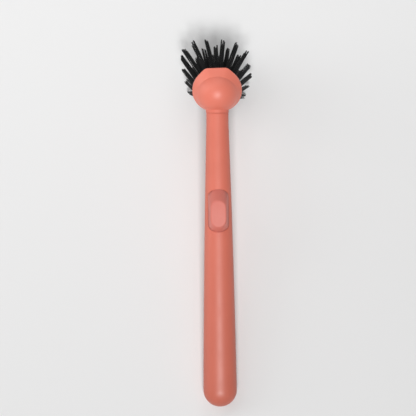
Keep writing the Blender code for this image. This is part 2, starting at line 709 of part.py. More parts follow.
def build_tufts(brush, head, handle, material):
    """Every tuft in its hole; the lowest are cut flat where they stand on the ground."""
    rng = random.Random(SCATTER_SEED)
    depth = HOLE_DEPTH - FIT_GAP
    bundles = []
    for name, foot, direction in tuft_places():
        turn = Vector((0.0, 0.0, 1.0)).rotation_difference(direction)
        tuft = make_object(name, tuft_plug(depth), head, material)
        tuft.location = foot
        tuft.rotation_euler = turn.to_euler()
        bundle = strand_bundle(tuft_length(foot, direction), rng)
        bundles.append((tuft, bundle))
    bpy.context.view_layer.update()
    to_brush = brush.matrix_world.inverted()
    tips = [to_brush @ tuft.matrix_world @ vert.co for tuft, bundle in bundles for vert in bundle.verts]
    tilt, ground = lie_angle([vert.co for vert in handle.data.vertices], tips)
    up = Vector((0.0, math.sin(tilt), math.cos(tilt)))
    for tuft, bundle in bundles:
        to_tuft = tuft.matrix_world.inverted() @ brush.matrix_world
        cut = bmesh.ops.bisect_plane(
            bundle, geom=list(bundle.verts) + list(bundle.edges) + list(bundle.faces),
            plane_co=to_tuft @ (up * ground), plane_no=to_tuft.to_3x3() @ up, clear_inner=True,
        )
        bmesh.ops.holes_fill(bundle, edges=kind_of(cut["geom_cut"], bmesh.types.BMEdge), sides=0)
        strands = make_object(tuft.name + "_strands", bundle, head)
        strands.location = tuft.location
        strands.rotation_euler = tuft.rotation_euler
        combine(tuft, strands, "UNION")
    return tilt, ground


def lay_down(brush, tilt, ground):
    """Lay the brush on the ground, with the middle of its footprint at the origin."""
    brush.rotation_euler = (tilt, 0.0, 0.0)
    brush.location = (0.0, 0.0, -ground)
    bpy.context.view_layer.update()
    graph = bpy.context.evaluated_depsgraph_get()
    lows, highs = [math.inf] * 2, [-math.inf] * 2
    for thing in bpy.data.objects:
        if thing.type != "MESH" or thing.hide_render:
            continue
        solid = thing.evaluated_get(graph)
        for vert in solid.data.vertices:
            place = solid.matrix_world @ vert.co
            for axis in (0, 1):
                lows[axis] = min(lows[axis], place[axis])
                highs[axis] = max(highs[axis], place[axis])
    brush.location.x -= (lows[0] + highs[0]) / 2
    brush.location.y -= (lows[1] + highs[1]) / 2


def main():
    clear_scene()
    coral = plastic("coral_plastic", (0.76, 0.22, 0.15), 0.42)
    coral_cap = plastic("coral_cap", (0.74, 0.25, 0.20), 0.5)
    liner = plastic("liner_plastic", (0.78, 0.78, 0.76), 0.4)
    rubber = plastic("seal_silicone", (0.05, 0.05, 0.05), 0.6)
    block = plastic("block_plastic", (0.03, 0.03, 0.03), 0.5)
    nylon = plastic("black_nylon", (0.015, 0.015, 0.017), 0.38)
    steel = plastic("yoke_steel", (0.55, 0.56, 0.57), 0.35, 1.0)
    nickel = plastic("magnet_nickel", (0.66, 0.65, 0.62), 0.2, 1.0)

    brush = make_empty("brush")
    head = make_empty("head", brush, (0.0, dome_place(), 0.0), math.radians(HEAD_TILT_DEGREES))
    handle = build_handle(brush, coral)
    build_sleeve(brush, liner)
    build_cap(brush, coral_cap)
    build_tray(brush, liner)
    build_yoke(brush, steel)
    build_magnet("magnet_neck_side", 1, brush, nickel)
    build_magnet("magnet_butt_side", -1, brush, nickel)
    build_head(brush, head, coral)
    build_seal(brush, rubber)
    build_block(head, block)
    tilt, ground = build_tufts(brush, head, handle, nylon)
    lay_down(brush, tilt, ground)


main()
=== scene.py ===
"""Finished look of a dish brush: coral mouldings, black bristles and a pale studio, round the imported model.

Each piece is drawn in the brush's own frame, with +Y along the handle and +Z towards the magnet boss,
or in the head's frame, with +Z out of the ball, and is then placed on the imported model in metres.
"""
import json
import random
from math import acos, asin, atan2, cos, hypot, pi, radians, sin, sqrt, tan

import bmesh
import bpy
from bpy.props import FloatProperty, FloatVectorProperty, IntProperty, PointerProperty
from bpy.types import Operator, Panel, PropertyGroup
from mathutils import Matrix, Vector


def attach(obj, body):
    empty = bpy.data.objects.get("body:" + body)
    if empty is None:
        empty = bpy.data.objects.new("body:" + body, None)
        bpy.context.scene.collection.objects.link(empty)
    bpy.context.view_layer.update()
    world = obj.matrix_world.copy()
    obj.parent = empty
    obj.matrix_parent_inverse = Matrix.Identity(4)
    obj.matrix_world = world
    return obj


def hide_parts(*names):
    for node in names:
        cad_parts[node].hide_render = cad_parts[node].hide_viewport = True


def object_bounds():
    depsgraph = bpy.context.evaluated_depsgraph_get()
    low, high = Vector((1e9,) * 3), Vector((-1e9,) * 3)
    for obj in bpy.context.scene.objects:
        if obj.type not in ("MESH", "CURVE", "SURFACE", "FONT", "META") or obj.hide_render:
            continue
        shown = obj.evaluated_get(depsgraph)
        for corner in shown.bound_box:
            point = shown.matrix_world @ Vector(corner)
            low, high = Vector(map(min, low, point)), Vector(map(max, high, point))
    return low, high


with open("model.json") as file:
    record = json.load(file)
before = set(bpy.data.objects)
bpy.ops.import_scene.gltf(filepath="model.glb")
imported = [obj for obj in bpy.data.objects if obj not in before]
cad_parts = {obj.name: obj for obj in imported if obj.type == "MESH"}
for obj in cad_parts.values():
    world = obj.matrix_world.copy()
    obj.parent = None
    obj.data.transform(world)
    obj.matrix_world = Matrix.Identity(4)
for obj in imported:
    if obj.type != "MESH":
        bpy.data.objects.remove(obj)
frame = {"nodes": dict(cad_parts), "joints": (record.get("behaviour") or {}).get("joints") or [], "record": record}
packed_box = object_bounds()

bl_info = {
    "name": "Dish Brush",
    "version": (1, 0, 0),
    "blender": (4, 5, 0),
    "location": "View3D > Sidebar > Dish Brush",
    "description": "Finished mouldings, bristles and studio for a magnetic dish brush",
    "category": "Object",
}

MERGE_DISTANCE = 0.000001
SHARP_ANGLE = radians(34.0)
# Faces round the turned pieces.
WIDE_SIDES = 120
CAVITY_SIDES = 96
STEM_SIDES = 72
CORE_SIDES = 32
# Radius of each ring of tufts as a share of the outer ring's, and its turn as a share of a step.
RING_SHARES = {"centre": (0.0, 0.0), "inner": (0.33, 0.5), "middle": (0.66, 0.0), "outer": (1.0, 0.5)}
# Height and width along a tuft, as shares of its length and of its foot.
TUFT_SHARES = ((0.0, 0.9), (0.3, 1.42), (0.65, 1.22), (1.0, 0.95))
# Scatter in a tuft: how far bundles turn, drift and are cut, how they mix, and how far a bristle strays.
BUNDLE_TURN_SHARE = 0.3
BUNDLE_DRIFT_SHARES = (-0.3, 1.0)
BUNDLE_TRIM_SHARES = (0.25, 1.0)
MIXING_SHARE = 0.2
STRAY_SHARE = 0.4
# Least share of its last stretch that a shortened bristle keeps.
SHORTEST_SHARE = 0.05
# How sharply a tuft's parting and its lean grow towards the tip.
PARTING_CURVE = 2
LEAN_CURVE = 1.3
# Lean of each worn tuft in degrees, round the head and outwards, in turn from the nose to the right.
LEANS = {
    "centre": ((0, 2),),
    "inner": ((-5, 5), (0, 3), (0, 0), (0, 0), (0, 3), (5, 5)),
    "middle": (
        (-1, 5), (-2, 4), (-3, 6), (2, 2), (3, 0), (0, 0), (0, 0), (0, 0), (-2, 0), (0, 2), (2, 2), (0, 5)),
    "outer": (
        (1, 0), (4, 2), (5, 3), (8, -1), (8, 2), (10, 3), (8, 9), (4, 3), (1, 1), (0, 0), (-2, 2), (-2, 5),
        (-2, 0), (2, 1), (3, 7), (-4, 8), (-6, 7), (-5, 3)),
}
# Stretches along the brush over which painted shade darkens the grip towards the butt, painted light brightens the
# ball and the floor towards the head, and the skin grows dull towards the neck and clears beyond it.
GRIP_PAINTED_SHADE_STRETCH = (0.07, -0.17)
BALL_PAINTED_LIGHT_STRETCH = (0.080, 0.087)
FLOOR_PAINTED_LIGHT_STRETCH = (-0.15, 0.19)
DULLING_STRETCH = (-0.06, 0.07)
CLEARING_STRETCH = (0.087, 0.082)
# Point on the floor that the lamps face.
LIGHT_TARGET = Vector((0.0, 0.05, 0.0))
ACROSS = Matrix.Rotation(pi / 2, 4, "X")
ALONG = Matrix.Rotation(-pi / 2, 4, "X")


def setting(kind, **limits):
    """A maker of one kind of setting for the sidebar."""
    def make(name, description, default):
        return kind(name=name, description=description, default=default, **limits)

    return make


size = setting(FloatProperty, min=0.0, unit="LENGTH", precision=5)
position = setting(FloatProperty, unit="LENGTH", precision=5)
angle = setting(FloatProperty, unit="ROTATION", subtype="ANGLE")
share = setting(FloatProperty, min=0.0, max=1.0, subtype="FACTOR")
power = setting(FloatProperty, min=0.0, unit="POWER")
count = setting(IntProperty, min=1)
colour = setting(FloatVectorProperty, size=3, min=0.0, max=1.0, subtype="COLOR")


class BrushHandle(PropertyGroup):
    """Sizes of the handle and of the liner in its neck."""
    length: size("Length", "From the round butt to the liner's mouth", 0.2227)
    butt_width: size("Butt width", "Width where the butt begins to round off", 0.0255)
    neck_width: size("Neck width", "Width of the round neck", 0.0168)
    neck_straight: size("Straight neck", "Length over which the neck doesn't taper", 0.0072)
    wall: size("Wall", "Thickness of the shell", 0.0020)
    lip: size("Lip", "Rounding of the edge of the neck", 0.0002)
    seam: size("Seam", "Gap between neck and collar", 0.00012)
    reach: size("Reach", "How far the neck's skin runs on past the liner", 0.0010)
    fullness: share("Fullness", "How far the flanks swell beyond a straight taper", 0.42)
    flattening: share("Flattening", "How much flatter than round the butt is", 0.22)
    sides: count("Sides", "Faces round the handle", 112)
    liner_length: size("Liner length", "Length of the blind liner in the neck", 0.0190)
    liner_wall: size("Liner wall", "Thickness of the liner", 0.0012)
    liner_floor: size("Liner floor", "Thickness of the liner's closed end", 0.0020)
    key_width: size("Key width", "Width of the key that stops the head turning", 0.0014)
    key_height: size("Key height", "Height of the key inside the liner", 0.0007)
    fit: size("Fit", "Gap between pieces that fit together", 0.0003)


class BrushBoss(PropertyGroup):
    """Sizes of the magnet boss on the back of the handle."""
    place: size("Place", "From the butt to the middle of the boss", 0.15005)
    length: size("Length", "Length of the boss", 0.0325)
    width: size("Width", "Width of the boss at its skirt", 0.0157)
    end_depth: size("End depth", "Depth of the half-oval ends", 0.0060)
    face_length: size("Face length", "Length of the flat face", 0.0202)
    face_width: size("Face width", "Width of the flat face", 0.0119)
    face_height: size("Face height", "Height of the face over the handle's axis", 0.0173)
    face_shift: size("Face shift", "How far the face sits towards the butt", 0.00185)
    skirt: size("Skirt", "Height over the axis where the flanks lean in", 0.0052)
    foot: size("Foot", "Depth of the cap's lower edge under the axis", 0.0009)
    wall: size("Wall", "Thickness of the cap", 0.0016)
    edge: size("Edge", "Rounding round the face", 0.0009)
    well_depth: size("Well depth", "Depth of the well under the handle's axis", 0.0035)
    seam: size("Seam", "Gap round the cap", 0.00006)
    sides: count("Sides", "Faces round the boss", 96)


class BrushHead(PropertyGroup):
    """Sizes of the ball head, its scraping flange and its stem."""
    tilt: angle("Tilt", "Lean of the head towards the bristle side", radians(28.0))
    dome_radius: size("Ball radius", "Radius of the ball", 0.0164)
    dome_wall: size("Ball wall", "Thickness of the ball", 0.0016)
    beyond_neck: size("Ball beyond neck", "From the liner's mouth to the ball's middle", 0.0172)
    crease_height: size("Crease height", "Height of the crease over the ball's middle", 0.0055)
    crease_round: size("Crease rounding", "Radius of the hollow at the crease", 0.0012)
    crease_full: angle("Crease full", "Angle from the front where the crease is deep", radians(55.0))
    crease_end: angle("Crease end", "Angle from the front where the crease has faded", radians(92.0))
    rim_radius: size("Rim radius", "Radius of the flange", 0.0187)
    rim_drop: size("Rim drop", "Depth of the rim's lower face", 0.0032)
    rim_edge: size("Rim edge", "Rounding of the rim", 0.0007)
    flare_foot: size("Flare foot", "Height where the flare meets the rim", 0.0004)
    flare: angle("Flare", "Slope at which the flange leaves the crease", radians(38.0))
    nose_reach: size("Nose reach", "From the ball's middle to the scraping edge", 0.0198)
    nose_foot: size("Nose foot", "Reach of the rim's lower edge under it", 0.0177)
    nose_corner: size("Nose corner", "Reach of the nose's corners", 0.0210)
    nose_turn: angle("Nose turn", "Angle from the middle of the nose to its corners", radians(25.0))
    nose_side: angle("Nose side", "Angle at which the nose leaves the round rim", radians(71.0))
    nose_skew: angle("Nose skew", "Turn of the nose on the ball", radians(-1.5))
    collar_radius: size("Collar radius", "Radius of the collar at the neck", 0.0087)
    collar_edge: size("Collar edge", "Rounding of the collar", 0.0002)
    collar_fillet: size("Collar fillet", "Radius of the hollow between collar and ball", 0.0015)
    collar_bite: size("Collar bite", "How far the hollow runs into the ball", 0.00003)
    relief: size("Neck relief", "Room round the neck under the ball", 0.0007)
    mouth_wall: size("Mouth wall", "Width of the rim round the block", 0.0021)
    mouth_edge: size("Mouth edge", "Easing of the mouth", 0.0003)
    shoulder_width: size("Shoulder width", "Ledge that the block seats on", 0.0014)
    shoulder_height: size("Shoulder height", "Height of that ledge over the rim", 0.0028)
    stem_length: size("Stem length", "Length of the stem in the liner", 0.0150)
    stem_root: size("Stem root", "Radius of the stem's root inside the ball", 0.0064)
    stem_root_depth: size("Stem root depth", "Depth of the root in the ball", 0.0019)
    stem_edge: size("Stem edge", "Easing of the stem's tip", 0.0008)
    stem_core: size("Stem core", "Radius of the moulding core in the stem", 0.0018)
    stem_core_wall: size("Stem core wall", "Thickness of the stem's tip", 0.0020)
    groove_place: size("Groove place", "From the liner's mouth to the seal", 0.0090)
    groove_depth: size("Groove depth", "Depth of the seal's groove", 0.00145)
    groove_width: size("Groove width", "Width of the seal's groove", 0.0019)
    sides: count("Sides", "Faces round the ball", 160)


class BrushTufts(PropertyGroup):
    """Sizes of the block and its bristles."""
    margin: size("Margin", "From the mouth to the middle of the outer ring", 0.0029)
    fan_depth: size("Fan depth", "How far behind the block the tufts would meet", 0.0347)
    reach: size("Reach", "Depth of the bristles below the rim", 0.0300)
    crown: size("Crown", "Extra reach in the middle", 0.0020)
    recess: size("Recess", "Depth of the block inside the rim", 0.0005)
    block_thickness: size("Block thickness", "Thickness of the block", 0.0038)
    block_edge: size("Block edge", "Easing of the block", 0.0003)
    hole_radius: size("Hole radius", "Radius of a tuft's hole", 0.0015)
    hole_depth: size("Hole depth", "Depth of a tuft's hole", 0.0026)
    strands: count("Strands", "Bristles in a tuft", 42)
    strand_radius: size("Strand radius", "Radius of a bristle", 0.00015)
    clumps: count("Clumps", "Bundles into which a tuft's tip parts", 4)
    clump_drift: size("Clump drift", "How far a bundle strays at its tip", 0.00065)
    clump_trim: size("Clump trim", "How unevenly the bundles end", 0.0036)
    strand_trim: size("Strand trim", "How unevenly bristles of one bundle end", 0.0011)
    over_trim: size("Over trim", "How far the longest bristles pass the crown", 0.0007)
    seed: count("Seed", "Start of the scatter", 11)


class BrushColours(PropertyGroup):
    """Colours of the pieces."""
    # Painted light: the ball's coral is paler than the neck's because the raised head catches more light.
    ball: colour("Ball", "Coral of the head", (0.775, 0.198, 0.134))
    coral: colour("Coral", "Coral at the neck", (0.715, 0.180, 0.120))
    coral_deep: colour("Deep coral", "Denser pigment in the same moulding", (0.69, 0.166, 0.108))
    # Painted shade: the grip's coral darkens towards the butt, where the light falls off.
    grip: colour("Grip", "Coral darkened by use towards the butt", (0.50, 0.122, 0.078))
    cap: colour("Cap", "Magnet cap", (0.67, 0.184, 0.143))
    cap_deep: colour("Deep cap", "Denser pigment in the cap", (0.64, 0.168, 0.128))
    nylon: colour("Nylon", "Bristles", (0.006, 0.006, 0.0065))
    nylon_tip: colour("Nylon tip", "Cut tips of the bristles", (0.020, 0.020, 0.021))
    block: colour("Block", "Block that holds the tufts", (0.018, 0.018, 0.019))
    liner: colour("Liner", "Neck liner and magnet tray", (0.76, 0.76, 0.73))
    silicone: colour("Silicone", "Seal on the stem", (0.045, 0.045, 0.047))
    steel: colour("Steel", "Plate under the magnets", (0.53, 0.54, 0.55))
    nickel: colour("Nickel", "Magnets", (0.66, 0.65, 0.61))
    # Painted light: the floor is paler beyond the head and darker beyond the butt, where the light falls off.
    floor: colour("Floor", "Studio floor beyond the head", (0.845, 0.845, 0.845))
    floor_painted_shade: colour("Deep floor", "Studio floor beyond the butt", (0.77, 0.77, 0.77))
    air: colour("Backdrop", "Studio backdrop", (0.82, 0.82, 0.82))


class BrushStudio(PropertyGroup):
    """Camera and lights."""
    view_x: position("View X", "Middle of the view across the brush", -0.0091)
    view_y: position("View Y", "Middle of the view along the brush", 0.0108)
    view_height: size("View height", "Height of the camera over the floor", 2.0)
    view_width: size("View width", "Width of the view at the brush", 0.31507)
    view_level: size("View level", "Height at which that width is measured", 0.03)
    view_turn: angle("View turn", "Turn of the camera about the vertical", radians(-0.6))
    view_tilt: angle("View tilt", "How far the camera stands towards the butt", radians(4.0))
    floor_size: size("Floor size", "Width of the floor", 12.0)
    key_power: power("Key power", "Large soft light high beyond the butt", 56.0)
    left_power: power("Left power", "Low soft light from the left", 6.6)
    head_power: power("Head power", "Soft light beyond the head's left", 1.25)
    nose_power: power("Nose power", "Soft light before the nose", 1.1)
    air_strength: share("Air strength", "Even light from all round", 0.1)


def settings():
    """The handle, boss, head and tuft sizes."""
    scene = bpy.context.scene
    return scene.brush_handle, scene.brush_boss, scene.brush_head, scene.brush_tufts


def brush_place():
    """Matrix from the brush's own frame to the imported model."""
    boss = bpy.context.scene.brush_boss
    along = Vector(frame["joints"][0]["axis"]).normalized()
    aside = Vector((1.0, 0.0, 0.0))
    turn = Matrix((aside, along, aside.cross(along))).transposed()
    face = Vector(frame["record"]["mounts"][0]["pos_m"])
    start = face - turn @ Vector((0.0, boss.place - boss.face_shift, boss.face_height))
    return Matrix.Translation(start) @ turn.to_4x4()


def stem_face():
    """Place along the handle from which stem and ball are measured, just outside the liner's mouth."""
    handle = bpy.context.scene.brush_handle
    return handle.length + handle.fit


def ball_place():
    """Place of the ball's middle along the handle."""
    return stem_face() + bpy.context.scene.brush_head.beyond_neck


def head_in_brush():
    """Matrix from the head's frame to the brush's."""
    tilt = bpy.context.scene.brush_head.tilt
    return Matrix.Translation((0.0, ball_place(), 0.0)) @ Matrix.Rotation(tilt, 4, "X")


def opaque(tone):
    """A colour with its alpha."""
    return (*tone, 1.0)


class Wire:
    """One socket of a node tree. A sum of wires and numbers adds its Math nodes."""

    def __init__(self, recipe, socket):
        self.recipe = recipe
        self.socket = socket

    def sum(self, operation, first, second):
        """Add a Math node."""
        return self.recipe.add("ShaderNodeMath", {"operation": operation}, {0: first, 1: second})

    def __add__(self, other):
        return self.sum("ADD", self, other)

    def __radd__(self, other):
        return self.sum("ADD", other, self)

    def __sub__(self, other):
        return self.sum("SUBTRACT", self, other)

    def __rsub__(self, other):
        return self.sum("SUBTRACT", other, self)

    def __mul__(self, other):
        return self.sum("MULTIPLY", self, other)

    def __rmul__(self, other):
        return self.sum("MULTIPLY", other, self)


class Recipe:
    """A node tree that is being filled."""

    def __init__(self, tree):
        self.tree = tree

    def add(self, kind, choices=None, sockets=None, output=0):
        """Add a node: its settings first, then the values or wires of its sockets."""
        node = self.tree.nodes.new(kind)
        for name, value in (choices or {}).items():
            setattr(node, name, value)
        for name, value in (sockets or {}).items():
            self.feed(node.inputs[name], value)
        return Wire(self, node.outputs[output])

    def feed(self, socket, value):
        """Link a wire to a socket, or set its value."""
        if isinstance(value, Wire):
            self.tree.links.new(value.socket, socket)
        else:
            socket.default_value = value

    def span(self, value, low, high):
        """A value from 0 at one bound to 1 at the other, and no further."""
        sockets = {"Value": value, "From Min": low, "From Max": high}
        return self.add("ShaderNodeMapRange", {"clamp": True}, sockets)

    def between(self, factor, first, second):
        """A colour between two others, each a wire or a tone."""
        first, second = (tone if isinstance(tone, Wire) else opaque(tone) for tone in (first, second))
        sockets = {0: factor, 6: first, 7: second}
        return self.add("ShaderNodeMix", {"data_type": "RGBA"}, sockets, 2)

    def shaded(self, factor, tone, shade):
        """A tone that gives way to itself times a shade."""
        return self.between(factor, tone, [shade * part for part in tone])


class Finish(Recipe):
    """A material with one Principled shader."""

    def __init__(self, name):
        self.material = bpy.data.materials.new(name)
        self.material.use_nodes = True
        super().__init__(self.material.node_tree)
        self.shader = self.tree.nodes["Principled BSDF"]
        self.place = self.add("ShaderNodeTexCoord", output="Object")

    def noise(self, scale, detail=2.0, roughness=0.5, place=None):
        """Soft noise between 0 and 1; the scale is in waves a metre."""
        sockets = {"Vector": place or self.place, "Scale": scale, "Detail": detail, "Roughness": roughness}
        return self.add("ShaderNodeTexNoise", {"noise_dimensions": "3D"}, sockets)

    def lines(self, scales, detail, roughness, turn=0.0):
        """Noise stretched along the axes after a turn about X."""
        sockets = {"Vector": self.place, "Scale": scales, "Rotation": (turn, 0.0, 0.0)}
        place = self.add("ShaderNodeMapping", {"vector_type": "POINT"}, sockets)
        return self.noise(1.0, detail, roughness, place)

    def attribute(self, name):
        """A number kept on the piece's own vertices."""
        return self.add("ShaderNodeAttribute", {"attribute_name": name}, None, "Fac")

    def along(self):
        """Distance along the brush."""
        return self.add("ShaderNodeSeparateXYZ", None, {"Vector": self.place}, "Y")

    def surface(self, **values):
        """Feed the shader; a socket's name is written with underscores."""
        for name, value in values.items():
            self.feed(self.shader.inputs[name.replace("_", " ").title()], value)

    def relief(self, height, distance, strength):
        """Bump of a height between 0 and 1 over a distance."""
        sockets = {"Height": height, "Distance": distance, "Strength": strength}
        self.surface(normal=self.add("ShaderNodeBump", None, sockets))


def moulded_plastic(name, tone, deep_tone, roughness, turn=0.0, painted_shading_tone=None, stretch=(0.0, 1.0)):
    """Satin moulded plastic: clouds of pigment, flow lines along the piece, fine spark-eroded grain.

    The far tone, painted light or shade, takes over along a stretch of the brush; the skin is dullest at the neck.
    """
    finish = Finish(name)
    clouds = finish.noise(38.0, 3.0)
    flow = finish.lines((900.0, 26.0, 900.0), 3.0, 0.6, turn)
    specks = finish.noise(2600.0, 2.0, 0.7)
    dense = finish.span(clouds * 0.55 + flow * 0.25 + specks * 0.2, 0.36, 0.64)
    grain = finish.noise(5200.0, 2.0, 0.6)
    handling = finish.span(finish.noise(110.0, 4.0, 0.65), 0.42, 0.62)
    pigment = finish.between(dense, tone, deep_tone)
    dull = 0.0
    # Painted light or shade: the far tone takes over along a stretch of the brush.
    if painted_shading_tone is not None:
        along = finish.along()
        far = finish.span(along + (clouds - 0.5) * (stretch[1] - stretch[0]) * 0.3, *stretch)
        pigment = finish.between(far, pigment, painted_shading_tone)
        dull = finish.span(along, *DULLING_STRETCH) * finish.span(along, *CLEARING_STRETCH) * 0.14
    finish.surface(
        base_color=pigment,
        roughness=roughness + handling * 0.05 + grain * 0.06 + dull - 0.03,
    )
    finish.relief(grain * 0.6 + flow * 0.3 + clouds * 0.1, 0.00003, 0.55)
    return finish.material


def nylon_bristle():
    """Black drawn nylon, with a tone of its own for each bristle and paler, duller cut tips."""
    colours = bpy.context.scene.brush_colours
    finish = Finish("black_nylon_strands")
    tone, along = finish.attribute("tone"), finish.attribute("along")
    tip = finish.span(along, 0.94, 1.0)
    wear = finish.noise(3200.0, 3.0, 0.6)
    pale = finish.span(tone * 0.5 + wear * 0.25 + tip * 0.6, 0.1, 1.3)
    finish.surface(
        base_color=finish.between(pale, colours.nylon, colours.nylon_tip),
        roughness=0.34 + tone * 0.12 + tip * 0.2,
    )
    finish.shader.inputs["Specular IOR Level"].default_value = 0.15
    finish.relief(wear, 0.00001, 0.5)
    return finish.material


def plain_moulding(name, tone, roughness):
    """Unseen or half-seen moulded part with clouds of tone and a fine grain."""
    finish = Finish(name)
    clouds = finish.span(finish.noise(160.0, 3.0), 0.35, 0.65)
    grain = finish.noise(4200.0, 2.0, 0.6)
    finish.surface(
        base_color=finish.shaded(clouds, tone, 0.86),
        roughness=roughness + grain * 0.1 - 0.05,
    )
    finish.relief(grain, 0.00003, 0.4)
    return finish.material


def silicone_rubber():
    """Dull black silicone with a trace of dust."""
    finish = Finish("seal_silicone_rubber")
    tone = bpy.context.scene.brush_colours.silicone
    dust = finish.span(finish.noise(900.0, 4.0, 0.7), 0.45, 0.75)
    finish.surface(base_color=finish.shaded(dust, tone, 1.6), roughness=0.5 + dust * 0.18)
    finish.relief(dust, 0.00002, 0.4)
    return finish.material


def pressed_metal(name, tone, roughness, scales):
    """Metal with lines left by rolling or grinding."""
    finish = Finish(name)
    lines = finish.lines(scales, 4.0, 0.7)
    finish.surface(
        base_color=finish.shaded(lines, tone, 0.8),
        roughness=roughness + lines * 0.14,
        metallic=1.0,
    )
    finish.relief(lines, 0.00001, 0.5)
    return finish.material


def kind_of(items, kind):
    """The items of one bmesh kind."""
    return [item for item in items if isinstance(item, kind)]


def neighbour_in(vert, group):
    """The neighbour of a vertex that belongs to a group."""
    return next(edge.other_vert(vert) for edge in vert.link_edges if edge.other_vert(vert) in group)


def draw_through(sections, sides, lay=Matrix.Identity(4)):
    """Draw a closed skin through a row of sections.

    A section holds one matrix for the whole of a unit circle, or two, for its front and back halves.
    """
    bm = bmesh.new()
    half_step = Matrix.Rotation(pi / sides, 4, "Z")
    ring = bmesh.ops.create_circle(bm, segments=sides, radius=1.0, cap_ends=True, matrix=half_step)["verts"]
    parts = [ring]
    if len(sections[0]) == 2:
        parts = [[vert for vert in ring if vert.co.y > 0.0], [vert for vert in ring if vert.co.y < 0.0]]
    edges = list(bm.edges)
    bmesh.ops.transform(bm, matrix=lay, verts=ring)
    for part, place in zip(parts, sections[0]):
        bmesh.ops.transform(bm, matrix=place, verts=part)
    for before, section in zip(sections, sections[1:]):
        grown = bmesh.ops.extrude_edge_only(bm, edges=edges)["geom"]
        fresh = set(kind_of(grown, bmesh.types.BMVert))
        edges = [edge for edge in kind_of(grown, bmesh.types.BMEdge) if fresh.issuperset(edge.verts)]
        parts = [[neighbour_in(vert, fresh) for vert in part] for part in parts]
        for part, old, place in zip(parts, before, section):
            bmesh.ops.transform(bm, matrix=place @ old.inverted(), verts=part)
    bmesh.ops.contextual_create(bm, geom=edges)
    bmesh.ops.recalc_face_normals(bm, faces=bm.faces)
    return bm


def oval_section(y, half_width, half_height):
    """An oval across the handle."""
    return [Matrix.Translation((0.0, y, 0.0)) @ Matrix.Diagonal((half_width, 1.0, half_height, 1.0))]


def bar_section(half_width, half_length, end_depth, height, middle):
    """A bar with half-oval ends, lying along the handle at a height over its axis."""
    stretch = Matrix.Diagonal((half_width, end_depth, 1.0, 1.0))
    reach = half_length - end_depth
    return [Matrix.Translation((0.0, middle + way * reach, height)) @ stretch for way in (1, -1)]


def move(bm, matrix):
    """Move the whole of a bmesh."""
    bmesh.ops.transform(bm, matrix=matrix, verts=bm.verts)


def spin_round(bm, outline, steps):
    """Spin an outline once round the vertical and close the skin."""
    bmesh.ops.spin(
        bm, geom=outline, axis=(0.0, 0.0, 1.0), cent=(0.0, 0.0, 0.0), steps=steps,
        angle=2 * pi, use_merge=True,
    )
    bmesh.ops.remove_doubles(bm, verts=bm.verts, dist=MERGE_DISTANCE)
    bmesh.ops.recalc_face_normals(bm, faces=bm.faces)


def turned(profile, steps, lay=Matrix.Identity(4)):
    """Spin a profile of (radius, height) points whose ends lie on the axis."""
    bm = bmesh.new()
    verts = [bm.verts.new((radius, 0.0, height)) for radius, height in profile]
    edges = [bm.edges.new(pair) for pair in zip(verts, verts[1:])]
    spin_round(bm, verts + edges, steps)
    move(bm, lay)
    return bm


def arc(centre, radius, start, end, steps):
    """Points of a round stretch of a profile."""
    points = []
    for step in range(steps + 1):
        turn = start + (end - start) * step / steps
        points.append((centre[0] + radius * cos(turn), centre[1] + radius * sin(turn)))
    return points


def add_object(name, data):
    """A new object in the scene."""
    thing = bpy.data.objects.new(name, data)
    bpy.context.scene.collection.objects.link(thing)
    return thing


def mesh_object(name, bm):
    """A new object that takes over a bmesh."""
    mesh = bpy.data.meshes.new(name)
    bm.to_mesh(mesh)
    bm.free()
    return add_object(name, mesh)


def combine(body, tool, operation):
    """Cut or join one closed bmesh with another."""
    target, operand = mesh_object("combined", body), mesh_object("tool", tool)
    boolean = target.modifiers.new("combine", "BOOLEAN")
    boolean.operation = operation
    boolean.solver = "EXACT"
    boolean.object = operand
    graph = bpy.context.evaluated_depsgraph_get()
    result = bmesh.new()
    result.from_mesh(bpy.data.meshes.new_from_object(target.evaluated_get(graph)))
    for thing in (target, operand):
        bpy.data.objects.remove(thing, do_unlink=True)
    bmesh.ops.remove_doubles(result, verts=result.verts, dist=MERGE_DISTANCE)
    return result


def make_piece(name, bm, place, body, slot, material, *nodes):
    """Finish a piece: smooth, in its place, riding on its body and standing for its CAD nodes."""
    move(bm, place)
    piece = mesh_object(name, bm)
    piece.data.shade_smooth()
    piece.data.set_sharp_from_angle(angle=SHARP_ANGLE)
    piece.data.materials.append(material)
    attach(piece, body)
    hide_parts(*nodes)


def dress_node(node, material):
    """Give a CAD node that stays in view its finished material."""
    mesh = frame["nodes"][node].data
    mesh.materials.clear()
    mesh.materials.append(material)


def taper(y):
    """1 at the butt's widest place, falling to 0 where the neck runs straight."""
    handle = bpy.context.scene.brush_handle
    start = handle.length - handle.neck_straight
    end = handle.butt_width / 2
    return min(1.0, max(0.0, (start - y) / (start - end)))


def half_sizes(y):
    """Half the width and half the thickness of the handle's shaft."""
    handle = bpy.context.scene.brush_handle
    t = taper(y)
    swell = t + handle.fullness * t * (1.0 - t)
    half_width = (handle.neck_width + (handle.butt_width - handle.neck_width) * swell) / 2
    return half_width, half_width * (1.0 - handle.flattening * t * (2.0 - t))


def shaft_sections(inset, end, butt_steps, shaft_steps):
    """Sections round the butt and along the shaft, drawn in by an inset."""
    handle = bpy.context.scene.brush_handle
    start = handle.butt_width / 2
    round_radius = start - inset
    round_height = half_sizes(start)[1] - inset
    sections = []
    for step in range(butt_steps):
        turn = pi / 2 * (step + 0.5) / butt_steps
        y = inset + round_radius * (1.0 - cos(turn))
        sections.append(oval_section(y, round_radius * sin(turn), round_height * sin(turn)))
    for step in range(shaft_steps + 1):
        y = start + (end - start) * step / shaft_steps
        half_width, half_height = half_sizes(y)
        sections.append(oval_section(y, half_width - inset, half_height - inset))
    return sections


def neck_bore():
    """Radius of the bore in the neck."""
    handle = bpy.context.scene.brush_handle
    return handle.neck_width / 2 - handle.wall


